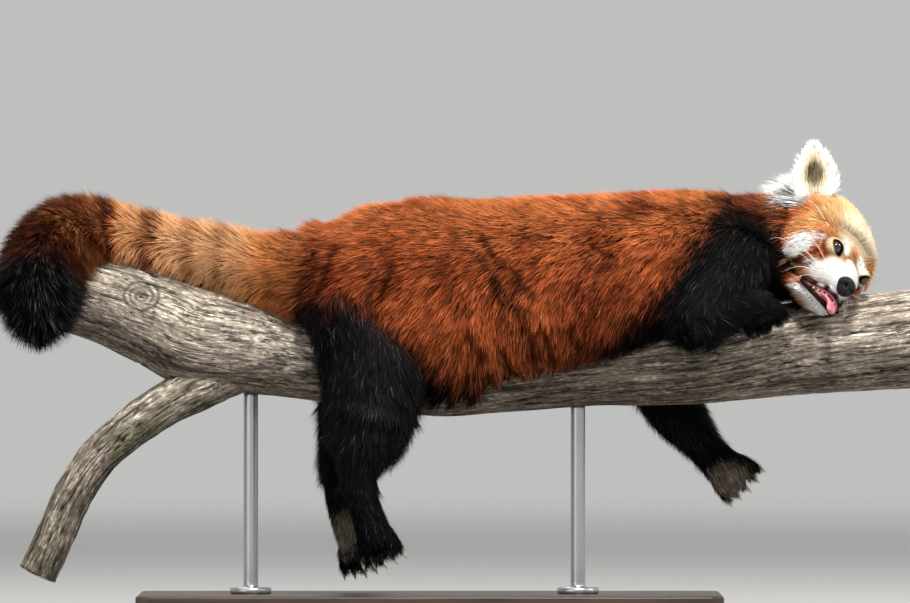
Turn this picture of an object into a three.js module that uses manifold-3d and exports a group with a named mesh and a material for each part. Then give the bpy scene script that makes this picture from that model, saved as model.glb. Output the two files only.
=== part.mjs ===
// A red panda resting along a branch, life size, on a plain display stand.
// Millimetres, +Z up. The animal lies along X with its head at +X, and its right side faces -Y.
// The origin is the middle of the stand's underside.

import * as THREE from 'three';
import { mergeVertices } from 'three/addons/utils/BufferGeometryUtils.js';
import Module from 'manifold-3d';

const wasm = await Module();
wasm.setup();

// Clearance kept between neighbouring pieces, and how far their facets may stray when small ones are merged
const gap = 0.3;
const tolerance = 0.15;

// Stand: a flat board and two rods under the branch
const stand = {
  boardLength: 560,
  boardWidth: 250,
  boardThickness: 18,
  boardCorner: 14,
  rodRadius: 7,
  rodFootRadius: 20,
  rodFootHeight: 6,
  rodPlaces: [-172, 142],
  rodTop: 240,
};

// Branch stations: x, y, z, half width, half height, from the end under the tail to the one past the head
const branchForm = {
  stations: [
    [-392, 6, 326, 42, 43],
    [-354, 5, 315, 43, 44],
    [-307, 4, 301, 44, 45],
    [-256, 2, 280, 46, 49],
    [-221, 0, 264, 47, 51],
    [-180, 0, 256, 44, 47],
    [-118, 0, 242, 39, 39],
    [-57, 0, 233, 38, 38],
    [11, 0, 225, 38, 38],
    [67, 0, 229, 38, 38],
    [163, 0, 237, 40, 40],
    [259, 0, 242, 43, 43],
    [355, 0, 254, 45, 46],
    [478, 0, 264, 48, 49],
  ],
  up: [0, 0, 1],
  sides: 14,
  steps: 15,
  capLength: 0.1,
  capSteps: 1,
};
const forkForm = {
  stations: [
    [-168, -8, 228, 12, 12],
    [-214, -12, 218, 21, 22],
    [-250, -16, 202, 21, 22],
    [-288, -20, 176, 20, 21],
    [-318, -22, 149, 19, 20],
    [-341, -22, 115, 19, 20],
    [-357, -20, 78, 19, 20],
    [-376, -18, 38, 19, 20],
  ],
  up: [0, 0, 1],
  sides: 9,
  steps: 8,
  capLength: 0.1,
  capSteps: 1,
};

// Body stations, out to the tips of the coat: x, y, z, half width, half height.
// A coat's depth is the distance from its tips to the core that the locks grow from.
const torsoForm = {
  stations: [
    [-106, 0, 326, 62, 58],
    [-74, 0, 316, 84, 84],
    [-29, 0, 304, 97, 100],
    [19, 0, 298, 101, 105],
    [67, 0, 305, 101, 98],
    [115, 0, 312, 99, 94],
    [163, 0, 321, 95, 87],
    [211, 0, 331, 89, 79],
    [259, 0, 337, 82, 74],
    [290, 0, 341, 70, 69],
  ],
  up: [0, 0, 1],
  sides: 16,
  steps: 8,
  capSteps: 2,
  square: 2.3,
  coat: {
    depth: 11, length: 90, width: 24, thickness: 7, rows: 6, around: 9,
    arc: [-50, 230], tipOut: -4, lie: -1, droop: 0.42,
  },
};
const neckForm = {
  stations: [
    [278, 0, 342, 62, 64],
    [318, -2, 348, 58, 60],
    [352, -4, 352, 54, 55],
    [378, -5, 354, 46, 48],
  ],
  up: [0, 0, 1],
  sides: 10,
  steps: 3,
  capSteps: 1,
  coat: {
    depth: 9, length: 56, width: 20, thickness: 6, rows: 1, around: 6,
    arc: [0, 180], span: [0.4, 0.6], tipOut: 0, lie: -1, droop: 0.3,
  },
};
const tailForm = {
  stations: [
    [-118, 0, 327, 46, 49],
    [-155, 0, 332, 38, 40],
    [-183, 0, 340, 34, 35],
    [-211, 0, 347, 33, 33],
    [-239, 0, 353, 31, 31],
    [-269, 0, 361, 30, 30],
    [-297, -2, 368, 30, 30],
    [-323, -8, 371, 34, 34],
    [-347, -24, 366, 38, 39],
    [-366, -48, 348, 41, 42],
    [-373, -66, 323, 42, 46],
    [-373, -72, 305, 39, 46],
    [-373, -75, 291, 30, 38],
  ],
  up: [0, -0.55, 0.83],
  sides: 9,
  steps: 3,
  capSteps: 2,
  coat: {
    depth: 9, length: 58, width: 18, thickness: 6, rows: 2, around: 5,
    arc: [0, 360], tipOut: -2, lie: 1, droop: 0,
  },
};
// Where the tail is divided, as shares of its length
const tailCuts = [0, 0.3, 0.56, 0.78, 1];

// Limb stations: x, distance out from the middle plane, z, half width across, half width fore and aft
const limbs = {
  thigh_right: [
    [-82, 46, 306, 34, 50], [-60, 60, 262, 38, 60], [-54, 69, 214, 36, 56], [-54, 72, 196, 34, 50],
  ],
  shin_right: [
    [-56, 72, 196, 34, 50], [-61, 72, 166, 30, 43], [-66, 70, 140, 24, 26], [-66, 68, 118, 20, 20],
  ],
  hindfoot_right: [
    [-69, 68, 128, 19, 20], [-62, 68, 102, 20, 19], [-55, 69, 82, 20, 20], [-50, 70, 68, 17, 19],
  ],
  thigh_left: [
    [-82, 46, 306, 34, 48], [-74, 60, 258, 36, 54], [-78, 67, 214, 32, 40], [-80, 68, 196, 30, 34],
  ],
  shin_left: [
    [-80, 68, 196, 28, 34], [-86, 66, 168, 25, 27], [-91, 62, 142, 21, 22], [-90, 58, 126, 19, 19],
  ],
  hindfoot_left: [
    [-90, 58, 134, 18, 18], [-84, 56, 106, 17, 20], [-75, 54, 74, 16, 20], [-69, 53, 56, 14, 19],
  ],
  arm_right: [
    [296, 46, 356, 34, 46], [276, 64, 316, 36, 46], [256, 74, 284, 32, 40], [250, 76, 274, 28, 34],
  ],
  forearm_right: [
    [244, 74, 276, 28, 30], [268, 76, 285, 26, 28], [292, 74, 298, 23, 25], [304, 72, 303, 20, 22],
  ],
  forepaw_right: [
    [298, 72, 305, 18, 21], [311, 69, 296, 17, 21], [317, 64, 286, 15, 20],
  ],
  arm_left: [
    [292, 46, 350, 34, 44], [268, 62, 300, 34, 42], [240, 70, 246, 32, 40], [228, 70, 216, 30, 38],
  ],
  forearm_left: [
    [226, 70, 218, 28, 38], [238, 66, 194, 26, 33], [256, 62, 170, 22, 26], [270, 58, 152, 19, 21],
  ],
  forepaw_left: [
    [266, 58, 157, 17, 20], [282, 55, 140, 16, 23], [292, 54, 131, 14, 22],
  ],
};
const limbCoats = {
  thigh: {
    depth: 8, length: 62, width: 19, thickness: 6, rows: 2, around: 6,
    arc: [0, 360], span: [0.1, 0.8], tipOut: -2, lie: 1, droop: 0,
  },
  shin: {
    depth: 6, length: 46, width: 15, thickness: 5, rows: 1, around: 5,
    arc: [0, 360], span: [0.4, 0.6], tipOut: -1, lie: 1, droop: 0,
  },
  arm: {
    depth: 7, length: 48, width: 17, thickness: 5, rows: 2, around: 5,
    arc: [0, 360], span: [0.1, 0.9], tipOut: -2, lie: 1, droop: 0,
  },
  forearm: {
    depth: 5, length: 40, width: 14, thickness: 4, rows: 1, around: 5,
    arc: [0, 360], span: [0.4, 0.6], tipOut: -1, lie: 1, droop: 0,
  },
};
const toe = { halfWidth: 4.2, halfHeight: 6.6, spread: 0.44, reach: 15, clawLength: 11, clawRadius: 2.1 };

// Head frame: the origin is midway between the eyes; forward, left and up are the head's own axes in the room
const head = {
  origin: [401.3, -46, 335.4],
  forward: [0.561, -0.796, -0.226],
  left: [0.538, 0.559, -0.631],
  eyeSpread: 23,
  eyeRadius: 8,
  eyeForward: -3,
  lidWidth: 7.6,
  lidHeight: 5.2,
  lidRadius: 2,
  nose: [20, 0, -24.5],
  noseRadii: [8, 11, 9.5],
  nostrilSpread: 5,
  nostrilRadius: 2.4,
};
// Stations in the head's axes: forward, left, up, half width, half height
const skullForm = {
  stations: [
    [-84, 0, 13, 35, 37],
    [-64, 0, 9, 53, 49],
    [-42, 0, 2.5, 57, 47.5],
    [-24, 0, -8, 54, 39],
    [-9, 0, -12.5, 42, 30.5],
    [0, 0, -14.5, 29, 22],
  ],
  up: [0, 0, 1],
  sides: 12,
  steps: 5,
  capLength: 0.35,
  capSteps: 2,
  coat: {
    depth: 3, length: 44, width: 15, thickness: 5, rows: 2, around: 8,
    arc: [-65, 245], span: [0.15, 0.65], tipOut: 6, lie: -1, droop: 0.1,
  },
};
const muzzleForm = {
  stations: [
    [-20, 0, -17, 31, 29],
    [-2, 0, -20, 27, 24.5],
    [8, 0, -22.5, 22, 19.5],
    [15, 0, -25, 16, 13],
  ],
  up: [0, 0, 1],
  sides: 10,
  steps: 3,
  capSteps: 2,
  square: 2.2,
};
const jawForm = {
  stations: [
    [-28, 0, -45.5, 25, 12],
    [-10, 0, -48.5, 24, 9],
    [4, 0, -51, 19, 7],
    [11, 0, -51.5, 13, 6],
  ],
  up: [0, 0, 1],
  sides: 10,
  steps: 3,
  capSteps: 2,
  coat: {
    depth: 1, length: 24, width: 9, thickness: 4, rows: 1, around: 5,
    arc: [190, 350], span: [0.3, 0.7], tipOut: 1, lie: -1, droop: 0,
  },
};
const tongueForm = {
  stations: [
    [-2, -5, -44, 9, 2.5],
    [9, -4, -45, 8.5, 2.5],
    [18, -3, -46, 8, 2.4],
    [25, -2, -50, 7, 2.2],
    [28, -2, -55, 5, 2],
  ],
  up: [0, 0, 1],
  sides: 8,
  steps: 6,
  capSteps: 2,
};
const lipForm = { up: [1, 0, 0.2], sides: 5, steps: 6, capSteps: 1 };
const upperLip = [
  [-6, -28, -42.5, 2.8, 2.8],
  [6, -21, -41.5, 2.8, 2.8],
  [13, -12, -38, 2.8, 2.8],
  [14, 0, -36.5, 2.8, 2.8],
];
const lowerLip = [
  [-8, -25, -45.5, 2.4, 2.4],
  [4, -19, -48, 2.4, 2.4],
  [12, -9.5, -49.8, 2.4, 2.4],
  [14, 0, -50, 2.4, 2.4],
];

// Ears: a leaf from its base to its tip, hollowed on the side that it faces
const ears = {
  right: {
    side: -1, base: [-51, 44, 30], tip: [-65, 80, 74], facing: [0.8, 0.5, 0.1],
    halfWidth: 27, thickness: 4, cup: 13, point: 0.78,
  },
  left: {
    side: 1, base: [-52, 43, 30], tip: [-94, 72, 46], facing: [0.5, 0.7, 0.5],
    halfWidth: 25, thickness: 4, cup: 12, point: 0.78,
  },
};

// Colours of the coat and of the bare parts
const colours = {
  rust: 0x8a3312,
  darkRust: 0x5a2412,
  orange: 0xb0672f,
  black: 0x17130f,
  white: 0xefe7da,
  nose: 0x1b181a,
  eye: 0x1a0f08,
  tongue: 0xd2717c,
  wood: 0x8f8371,
  board: 0x3b3129,
  steel: 0x9b9b9b,
};

const v3 = (a) => new THREE.Vector3(a[0], a[1], a[2]);

// A seeded draw between -1 and 1
let seed = 7;
const restartDraws = (from) => { seed = from; };
function draw() {
  seed = (seed * 16807) % 2147483647;
  return (seed / 2147483647) * 2 - 1;
}

// Turns a closed geometry into a solid, with shared corners merged and empty triangles dropped.
function solidOf(geometry) {
  geometry.deleteAttribute('normal');
  geometry.deleteAttribute('uv');
  const merged = mergeVertices(geometry, 1e-3);
  const index = merged.index.array;
  const kept = [];
  for (let i = 0; i < index.length; i += 3) {
    const [a, b, c] = [index[i], index[i + 1], index[i + 2]];
    if (a !== b && b !== c && c !== a) kept.push(a, b, c);
  }
  const vertProperties = new Float32Array(merged.attributes.position.array);
  const build = () => {
    const triVerts = new Uint32Array(kept);
    return new wasm.Manifold(new wasm.Mesh({ numProp: 3, vertProperties, triVerts }));
  };
  const made = build();
  if (made.volume() >= 0) return made;
  for (let i = 0; i < kept.length; i += 3) [kept[i + 1], kept[i + 2]] = [kept[i + 2], kept[i + 1]];
  return build();
}

// Moves every vertex of a geometry by a rule.
function reshape(geometry, rule) {
  const place = geometry.attributes.position;
  const point = new THREE.Vector3();
  for (let i = 0; i < place.count; i += 1) {
    point.fromBufferAttribute(place, i);
    const moved = rule(point);
    place.setXYZ(i, moved.x, moved.y, moved.z);
  }
  return geometry;
}

// The centre, axes and half sizes of a form at a share t of its stations.
function frameAt(form, t) {
  const curve = (points) => new THREE.CatmullRomCurve3(points, false, 'catmullrom', 0.5);
  form.centres ??= curve(form.stations.map(v3));
  form.sizes ??= curve(form.stations.map((s) => v3([s[3], s[4], 0])));
  const along = form.centres.getTangent(t).normalize();
  const side = v3(form.up).cross(along).normalize();
  const above = along.clone().cross(side);
  const size = form.sizes.getPoint(t);
  return { centre: form.centres.getPoint(t), along, side, above, halfSide: size.x, halfAbove: size.y };
}

// One share of a superellipse's cosine or sine.
function squared(x, square = 2) {
  return Math.abs(x) < 1e-6 ? 0 : Math.sign(x) * Math.abs(x) ** (2 / square);
}

// The point of a form's outer surface at share t and an angle from its side axis, moved outwards.
function surfacePoint(form, t, angle, out) {
  const f = frameAt(form, t);
  return f.centre
    .addScaledVector(f.side, squared(Math.cos(angle), form.square) * (f.halfSide + out))
    .addScaledVector(f.above, squared(Math.sin(angle), form.square) * (f.halfAbove + out));
}

// A capsule bent along a form's stations.
function swept(form, grow = 0) {
  const [from, to] = form.part ?? [0, 1];
  const steps = form.steps ?? 2 * (form.stations.length - 1);
  const capsule = new THREE.CapsuleGeometry(1, 1, form.capSteps ?? 3, form.sides ?? 14, steps);
  return solidOf(reshape(capsule, (p) => {
    const past = Math.max(0, Math.abs(p.y) - 0.5) * Math.sign(p.y);
    const share = THREE.MathUtils.clamp(p.y + 0.5, 0, 1);
    const f = frameAt(form, from + (to - from) * share);
    const cap = (form.capLength ?? 0.7) * Math.min(f.halfSide, f.halfAbove) + grow;
    const ring = Math.hypot(p.x, p.z) || 1;
    return f.centre
      .addScaledVector(f.along, past * cap)
      .addScaledVector(f.side, squared(p.x / ring, form.square) * ring * (f.halfSide + grow))
      .addScaledVector(f.above, squared(p.z / ring, form.square) * ring * (f.halfAbove + grow));
  }));
}

// An ellipsoid by its centre and radii.
function ellipsoid(centre, radii, grow = 0, columns = 14, rows = 9) {
  const ball = new THREE.SphereGeometry(1, columns, rows);
  ball.scale(radii[0] + grow, radii[1] + grow, radii[2] + grow);
  ball.translate(...centre);
  return solidOf(ball);
}

// A lock of hair: a flat blade with a low ridge that bends from its root over the middle point to its tip.
function lock({ root, middle, tip, outward, width, thickness, steps = 3 }, grow = 0) {
  const path = new THREE.QuadraticBezierCurve3(root, middle, tip);
  return solidOf(reshape(new THREE.ConeGeometry(1, 1, 3, steps), (p) => {
    const share = p.y + 0.5;
    const ring = Math.hypot(p.x, p.z);
    const along = path.getTangent(share).normalize();
    const across = outward.clone().cross(along).normalize();
    const above = along.clone().cross(across);
    const full = share > 0.999 || ring < 1e-6 ? 0 : (0.75 + 1.1 * share * (1 - share)) * (1 - share ** 2.2);
    const [c, s] = ring < 1e-6 ? [0, 0] : [p.x / ring, p.z / ring];
    return path.getPoint(share)
      .addScaledVector(along, share > 0.999 ? 3 * grow : 0)
      .addScaledVector(across, full * c * (width + 1.5 * grow))
      .addScaledVector(above, full * (s + 0.2) * (thickness + 1.5 * grow));
  }));
}

// Whether a point lies inside a form's core.
function isInside(form, point, margin = 0) {
  let best = null;
  for (let t = 0; t <= 1.0001; t += 0.05) {
    const f = frameAt(form, Math.min(t, 1));
    const distance = f.centre.distanceTo(point);
    if (!best || distance < best.distance) best = { ...f, distance };
  }
  const away = point.clone().sub(best.centre);
  const across = away.dot(best.side) / (best.halfSide + margin);
  const upward = away.dot(best.above) / (best.halfAbove + margin);
  return across ** 2 + upward ** 2 < 1 && Math.abs(away.dot(best.along)) < best.halfSide;
}

// The locks of a form's coat, in rows that overlap along the lie.
// Those that would start inside a neighbour are left out.
function locksOf(form, avoid = []) {
  const { depth, length, width, thickness, rows, around, arc, span, tipOut, lie, droop } = form.coat;
  const [from, to] = span ?? form.part ?? [0, 1];
  frameAt(form, 0);
  const reach = (lie * length) / form.centres.getLength();
  const found = [];
  for (let row = 0; row < rows; row += 1) {
    for (let k = 0; k < around; k += 1) {
      const place = (k + (row % 2) * 0.5 + 0.25 + 0.18 * draw()) / around;
      const angle = THREE.MathUtils.degToRad(arc[0] + place * (arc[1] - arc[0]));
      const share = THREE.MathUtils.clamp(from + (to - from) * ((row + 0.5 + 0.2 * draw()) / rows), 0, 1);
      const size = 1 + 0.16 * draw();
      const hang = -droop * Math.cos(angle);
      const at = (part, out) => {
        const place2 = THREE.MathUtils.clamp(share + reach * size * part, 0, 1);
        return surfacePoint(form, place2, angle + hang * part, out);
      };
      const root = at(0, -depth - 4);
      const tip = at(1, tipOut + 2 * draw());
      const middle = at(0.5, 0.5 * tipOut);
      const beyond = share + reach * size - THREE.MathUtils.clamp(share + reach * size, 0, 1);
      const f = frameAt(form, share);
      const end = frameAt(form, beyond < 0 ? 0 : 1);
      tip.lerp(end.centre, Math.min(0.6, Math.abs(beyond / reach)));
      tip.addScaledVector(end.along, beyond * form.centres.getLength() * 0.8);
      const outward = surfacePoint(form, share, angle, 1).sub(f.centre).normalize();
      if (avoid.some((other) => isInside(other, at(0.25, 0), 2))) continue;
      found.push({ root, middle, tip, outward, width: width * size, thickness });
    }
  }
  return found;
}

// Joins solids.
const join = (solids) => wasm.Manifold.union(solids);

// The largest closed surface of a solid.
function largest(solid) {
  const pieces = solid.simplify(tolerance).decompose();
  return pieces.reduce((best, next) => (next.volume() > best.volume() ? next : best));
}

// A form's core with its locks; the same locks come back at any growth.
function coated(form, avoid) {
  restartDraws(11 + Math.round(form.stations[0][2] + 100 * (form.part?.[1] ?? 0)));
  const locks = locksOf(form, avoid);
  return (grow) => join([swept(form, grow - form.coat.depth), ...locks.map((one) => lock(one, grow))]);
}

// Places a solid that was made in the head's own axes.
const headForward = v3(head.forward).normalize();
const headUp = headForward.clone().cross(v3(head.left)).normalize();
const headLeft = headUp.clone().cross(headForward);
const headPlace = new THREE.Matrix4().makeBasis(headForward, headLeft, headUp).setPosition(v3(head.origin));
const inHead = (make) => (grow) => make(grow).transform(headPlace.elements);

function board() {
  const { boardLength: l, boardWidth: w, boardThickness: t, boardCorner: c } = stand;
  const outline = new THREE.Shape();
  for (const [x, y, turn] of [[1, 1, 0], [-1, 1, 1], [-1, -1, 2], [1, -1, 3]]) {
    outline.absarc(x * (l / 2 - c), y * (w / 2 - c), c, turn * Math.PI / 2, (turn + 1) * Math.PI / 2);
  }
  outline.closePath();
  return solidOf(new THREE.ExtrudeGeometry(outline, { depth: t, bevelEnabled: false, curveSegments: 4 }));
}

function rod(x) {
  const { rodRadius: r, rodFootRadius: foot, rodFootHeight: h, boardThickness: base, rodTop: top } = stand;
  const low = base + gap;
  const profile = [[0, low], [foot, low], [foot, low + h], [r, low + h + 2], [r, top], [0, top]];
  const lathe = new THREE.LatheGeometry(profile.map(([a, b]) => new THREE.Vector2(a, b)), 20);
  lathe.rotateX(Math.PI / 2);
  lathe.translate(x, 0, 0);
  return solidOf(lathe);
}

// The slot that the branch fills under the belly
const slotForm = {
  ...branchForm,
  stations: branchForm.stations.map(([x, y, z, w, h]) => [x, y, z - 60, w - 1, h + 40]),
  sides: 12,
  square: 8,
};

// A limb's form, on the side that its name ends with
function limbForm(name) {
  const side = name.endsWith('left') ? 1 : -1;
  const stations = limbs[name].map(([x, out, z, w, h]) => [x, side * out, z, w, h]);
  return { stations, up: [1, 0, 0.2], sides: 8, steps: 3, capSteps: 2, coat: limbCoats[name.split('_')[0]] };
}

// A paw with five toes, each with a hooked claw
function paw(name) {
  const form = limbForm(name);
  return (grow) => {
    const f = frameAt(form, 1);
    const parts = [swept({ ...form, steps: 2, capLength: 0.2, capSteps: 1 }, grow)];
    for (let k = -2; k <= 2; k += 1) {
      const start = f.centre.clone().addScaledVector(f.above, k * toe.spread * f.halfAbove);
      const heading = f.along.clone().addScaledVector(f.above, k * 0.1).normalize();
      const reach = toe.reach - 2.2 * Math.abs(k - 0.4);
      const end = start.clone().addScaledVector(heading, reach);
      const stations = [start, end].map((p) => [p.x, p.y, p.z, toe.halfHeight, toe.halfWidth]);
      parts.push(swept({ stations, up: form.up, sides: 5, steps: 1, capSteps: 1, capLength: 1 }, grow));
      const bent = end.clone().addScaledVector(heading, toe.clawLength * 0.8).addScaledVector(f.side, 0.2);
      const tip = bent.clone()
        .addScaledVector(heading, toe.clawLength * 0.35)
        .addScaledVector(f.side, toe.clawLength * 0.3);
      const thick = { width: toe.clawRadius, thickness: toe.clawRadius, steps: 1 };
      const claw = { root: end, middle: bent, tip, outward: f.side, ...thick };
      parts.push(lock(claw, grow));
    }
    return join(parts);
  };
}

// One ear as a pointed leaf, cupped towards its facing side
const ear = ({ side, base, tip, facing, halfWidth, thickness, cup, point }) => (grow) => {
  const flip = ([x, y, z]) => v3([x, side * y, z]);
  const from = flip(base);
  const along = flip(tip).sub(from);
  const length = along.length();
  along.normalize();
  const across = along.clone().cross(flip(facing)).normalize();
  const front = across.clone().cross(along);
  return solidOf(reshape(new THREE.SphereGeometry(1, 10, 9), (p) => {
    const rise = (p.y + 1) / 2;
    const narrow = 1.08 - point * rise ** 1.5;
    const hollow = cup * (p.x ** 2 + 0.5 * p.y ** 2 - 0.6);
    return from.clone()
      .addScaledVector(along, rise * (length + grow) - 8 * (1 - rise))
      .addScaledVector(across, p.x * narrow * (halfWidth + grow))
      .addScaledVector(front, hollow + p.z * (thickness + grow));
  }));
};

const eye = (side) => (grow) => {
  const { eyeForward: x, eyeSpread: y, eyeRadius: r } = head;
  return ellipsoid([x, side * y, 0], [r, r, r], grow, 10, 7);
};

// The rim of both lids, set on the front of the eyeball
function lids(side) {
  const rim = new THREE.TorusGeometry(1, 0.3, 3, 10);
  return solidOf(reshape(rim, (p) => {
    const ring = Math.hypot(p.x, p.y);
    const [y, z] = [(p.x / ring) * head.lidWidth, (p.y / ring) * head.lidHeight];
    const out = Math.sqrt(Math.max(0, (head.eyeRadius + 1) ** 2 - 0.55 * (y * y + z * z)));
    const thick = ((ring - 1) / 0.3) * head.lidRadius;
    const lift = (p.z / 0.3) * head.lidRadius;
    const y2 = side * head.eyeSpread + y + (y / head.lidWidth) * thick;
    return v3([head.eyeForward + out - 1.5 + lift, y2, z + (z / head.lidHeight) * thick]);
  }));
}

// A lip from one corner of the mouth round to the other
function lip(stations, grow) {
  const other = stations.slice(0, -1).reverse().map(([x, y, z, w, h]) => [x, -y, z, w, h]);
  return swept({ ...lipForm, stations: [...stations, ...other] }, grow);
}

// The skull with cheeks and muzzle, sockets round the eyes, lids and the upper lip
const coatedSkull = coated(skullForm, []);
function headCore(grow) {
  const { eyeForward, eyeSpread } = head;
  const skull = join([coatedSkull(grow), swept(muzzleForm, grow)]);
  const sockets = [-1, 1].map((side) => {
    const centre = [eyeForward + 15, side * (eyeSpread + 3), 1];
    return ellipsoid(centre, [13, 14, 11], -grow, 8, 5);
  });
  const carved = skull.subtract(join(sockets));
  if (grow > 0) return join([skull, lip(upperLip, grow)]);
  return join([carved, lids(-1), lids(1), lip(upperLip, grow)]);
}

const coatedJaw = coated(jawForm, []);
const jaw = (grow) => join([coatedJaw(grow), lip(lowerLip, grow)]);

function nose(grow) {
  const { nose: [x, y, z], noseRadii, nostrilSpread, nostrilRadius: r } = head;
  const pad = ellipsoid([x, y, z], noseRadii, grow, 10, 6);
  if (grow > 0) return pad;
  const holes = [-1, 1].map((side) => {
    const centre = [x + 5.5, side * nostrilSpread, z - 1];
    return ellipsoid(centre, [4, r, r * 0.8], 0, 6, 4);
  });
  return pad.subtract(join(holes));
}

const limbNames = Object.keys(limbs);
const limbForms = Object.fromEntries(limbNames.map((name) => [name, limbForm(name)]));
const uppers = ['thigh_right', 'thigh_left', 'arm_right', 'arm_left'].map((name) => limbForms[name]);
const tailPart = (k) => {
  const part = [tailCuts[k], tailCuts[k + 1]];
  return { ...tailForm, part, capLength: k === 3 ? 0.9 : 0.4 };
};

// Every piece in the order in which the later ones are cut clear of the earlier ones
const pieces = [
  ['perch_branch', (grow) => swept(branchForm, grow), colours.wood],
  ['perch_fork', (grow) => swept(forkForm, grow), colours.wood],
  ['nose', inHead(nose), colours.nose],
  ['eye_right', inHead(eye(-1)), colours.eye],
  ['eye_left', inHead(eye(1)), colours.eye],
  ['tongue', inHead((grow) => swept(tongueForm, grow)), colours.tongue],
  ['head', inHead(headCore), colours.orange],
  ['jaw', inHead(jaw), colours.white],
  ['ear_right', inHead(ear(ears.right)), colours.white],
  ['ear_left', inHead(ear(ears.left)), colours.white],
  ['torso', coated(torsoForm, uppers), colours.rust],
  ['neck', coated(neckForm, uppers), colours.rust],
  ['tail_base', coated(tailPart(0), [torsoForm]), colours.orange],
  ['tail_middle', coated(tailPart(1), []), colours.orange],
  ['tail_bend', coated(tailPart(2), []), colours.darkRust],
  ['tail_tip', coated(tailPart(3), []), colours.black],
  ...limbNames.map((name) => {
    const isPaw = name.includes('foot') || name.includes('paw');
    const make = isPaw ? paw(name) : coated(limbForms[name], [branchForm]);
    return [name, make, colours.black];
  }),
];

function meshOf(name, solid, colour, finish = { roughness: 0.85, metalness: 0 }) {
  const { vertProperties, triVerts, numProp } = solid.getMesh();
  const geometry = new THREE.BufferGeometry();
  const places = new Float32Array((vertProperties.length / numProp) * 3);
  for (let i = 0; i < places.length / 3; i += 1) {
    for (let k = 0; k < 3; k += 1) places[3 * i + k] = vertProperties[numProp * i + k];
  }
  geometry.setAttribute('position', new THREE.BufferAttribute(places, 3));
  geometry.setIndex(Array.from(triVerts));
  geometry.computeVertexNormals();
  const mesh = new THREE.Mesh(geometry, new THREE.MeshStandardMaterial({ color: colour, ...finish }));
  mesh.name = name;
  return mesh;
}

const group = new THREE.Group();
const slot = swept(slotForm, gap);
const earlier = [];
for (const [name, make, colour] of pieces) {
  let solid = make(0);
  if (name !== 'perch_branch') solid = solid.subtract(join(earlier));
  if (name === 'torso' || name.startsWith('thigh')) solid = solid.subtract(slot);
  group.add(meshOf(name, largest(solid), colour));
  earlier.push(make(gap));
}
group.add(meshOf('stand_board', board(), colours.board));
stand.rodPlaces.forEach((x, i) => {
  const cut = largest(rod(x).subtract(join([swept(branchForm, gap), swept(forkForm, gap)])));
  group.add(meshOf(`stand_rod_${i + 1}`, cut, colours.steel, { roughness: 0.35, metalness: 0.9 }));
});

export default group;
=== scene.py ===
# A red panda resting along a branch, life size, on a plain display stand.
import math
import bpy
import numpy as np
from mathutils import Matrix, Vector, kdtree


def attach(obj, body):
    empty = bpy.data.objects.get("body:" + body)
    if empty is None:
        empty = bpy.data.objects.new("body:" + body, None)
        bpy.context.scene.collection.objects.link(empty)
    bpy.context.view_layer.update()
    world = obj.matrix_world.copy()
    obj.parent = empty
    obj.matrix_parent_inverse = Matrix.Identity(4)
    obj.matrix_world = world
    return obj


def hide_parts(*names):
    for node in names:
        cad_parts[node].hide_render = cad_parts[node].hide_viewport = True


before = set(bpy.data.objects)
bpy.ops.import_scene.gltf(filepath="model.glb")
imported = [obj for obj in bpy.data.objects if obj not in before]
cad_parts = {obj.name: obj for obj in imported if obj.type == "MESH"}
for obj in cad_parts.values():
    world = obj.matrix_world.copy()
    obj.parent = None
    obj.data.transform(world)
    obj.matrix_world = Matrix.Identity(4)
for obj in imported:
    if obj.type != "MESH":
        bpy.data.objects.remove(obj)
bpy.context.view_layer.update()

# Shapes are worked out in millimetres; mm turns them into metres when a mesh is made.
mm = 0.001
draws = np.random.default_rng(23)


def unit(v):
    return v / np.maximum(np.linalg.norm(v, axis=-1, keepdims=True), 1e-9)


def tiled(colour, count):
    # one colour for each of count points
    return np.tile(np.array(colour), (count, 1))


def step(low, high, x):
    k = np.clip((x - low) / (high - low), 0, 1)
    return k * k * (3 - 2 * k)


def mix(a, b, k):
    return a + (b - a) * np.asarray(k)[..., None]


def cloud(p, seed=0.0):
    # smooth random values between 0 and 1 at points p
    p = np.asarray(p, float)
    cell = np.floor(p)
    f = p - cell
    f = f * f * (3 - 2 * f)
    total = np.zeros(len(p))
    for corner in range(8):
        o = np.array([corner & 1, corner >> 1 & 1, corner >> 2 & 1])
        h = np.sin((cell + o) @ np.array([127.1, 311.7, 74.7]) + seed * 17.3) * 43758.5453
        share = np.prod(np.where(o, f, 1 - f), axis=1)
        total += share * (h - np.floor(h))
    return total


def makeObject(name, verts, faces, smooth=True):
    mesh = bpy.data.meshes.new(name)
    mesh.from_pydata((np.asarray(verts) * mm).tolist(), [], faces)
    mesh.update()
    if smooth:
        mesh.polygons.foreach_set("use_smooth", np.ones(len(mesh.polygons), bool))
    thing = bpy.data.objects.new(name, mesh)
    bpy.context.collection.objects.link(thing)
    return thing


def applied(thing):
    # bakes the modifiers of a thing into its mesh
    made = bpy.data.meshes.new_from_object(thing.evaluated_get(bpy.context.evaluated_depsgraph_get()))
    old = thing.data
    thing.modifiers.clear()
    thing.data = made
    bpy.data.meshes.remove(old)
    return thing


def combine(thing, other, way):
    cut = thing.modifiers.new("combine", "BOOLEAN")
    cut.operation = way
    cut.solver = "MANIFOLD"
    cut.object = other
    applied(thing)
    bpy.data.objects.remove(other, do_unlink=True)
    return thing


def remeshed(thing, size, rounds):
    grid = thing.modifiers.new("grid", "REMESH")
    grid.mode = "VOXEL"
    grid.voxel_size = size * mm
    grid.use_smooth_shade = True
    soft = thing.modifiers.new("soft", "SMOOTH")
    soft.factor = 0.5
    soft.iterations = rounds
    return applied(thing)


def vertexPlaces(mesh):
    flat = np.empty(len(mesh.vertices) * 3)
    mesh.vertices.foreach_get("co", flat)
    return flat.reshape(-1, 3) / mm


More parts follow.
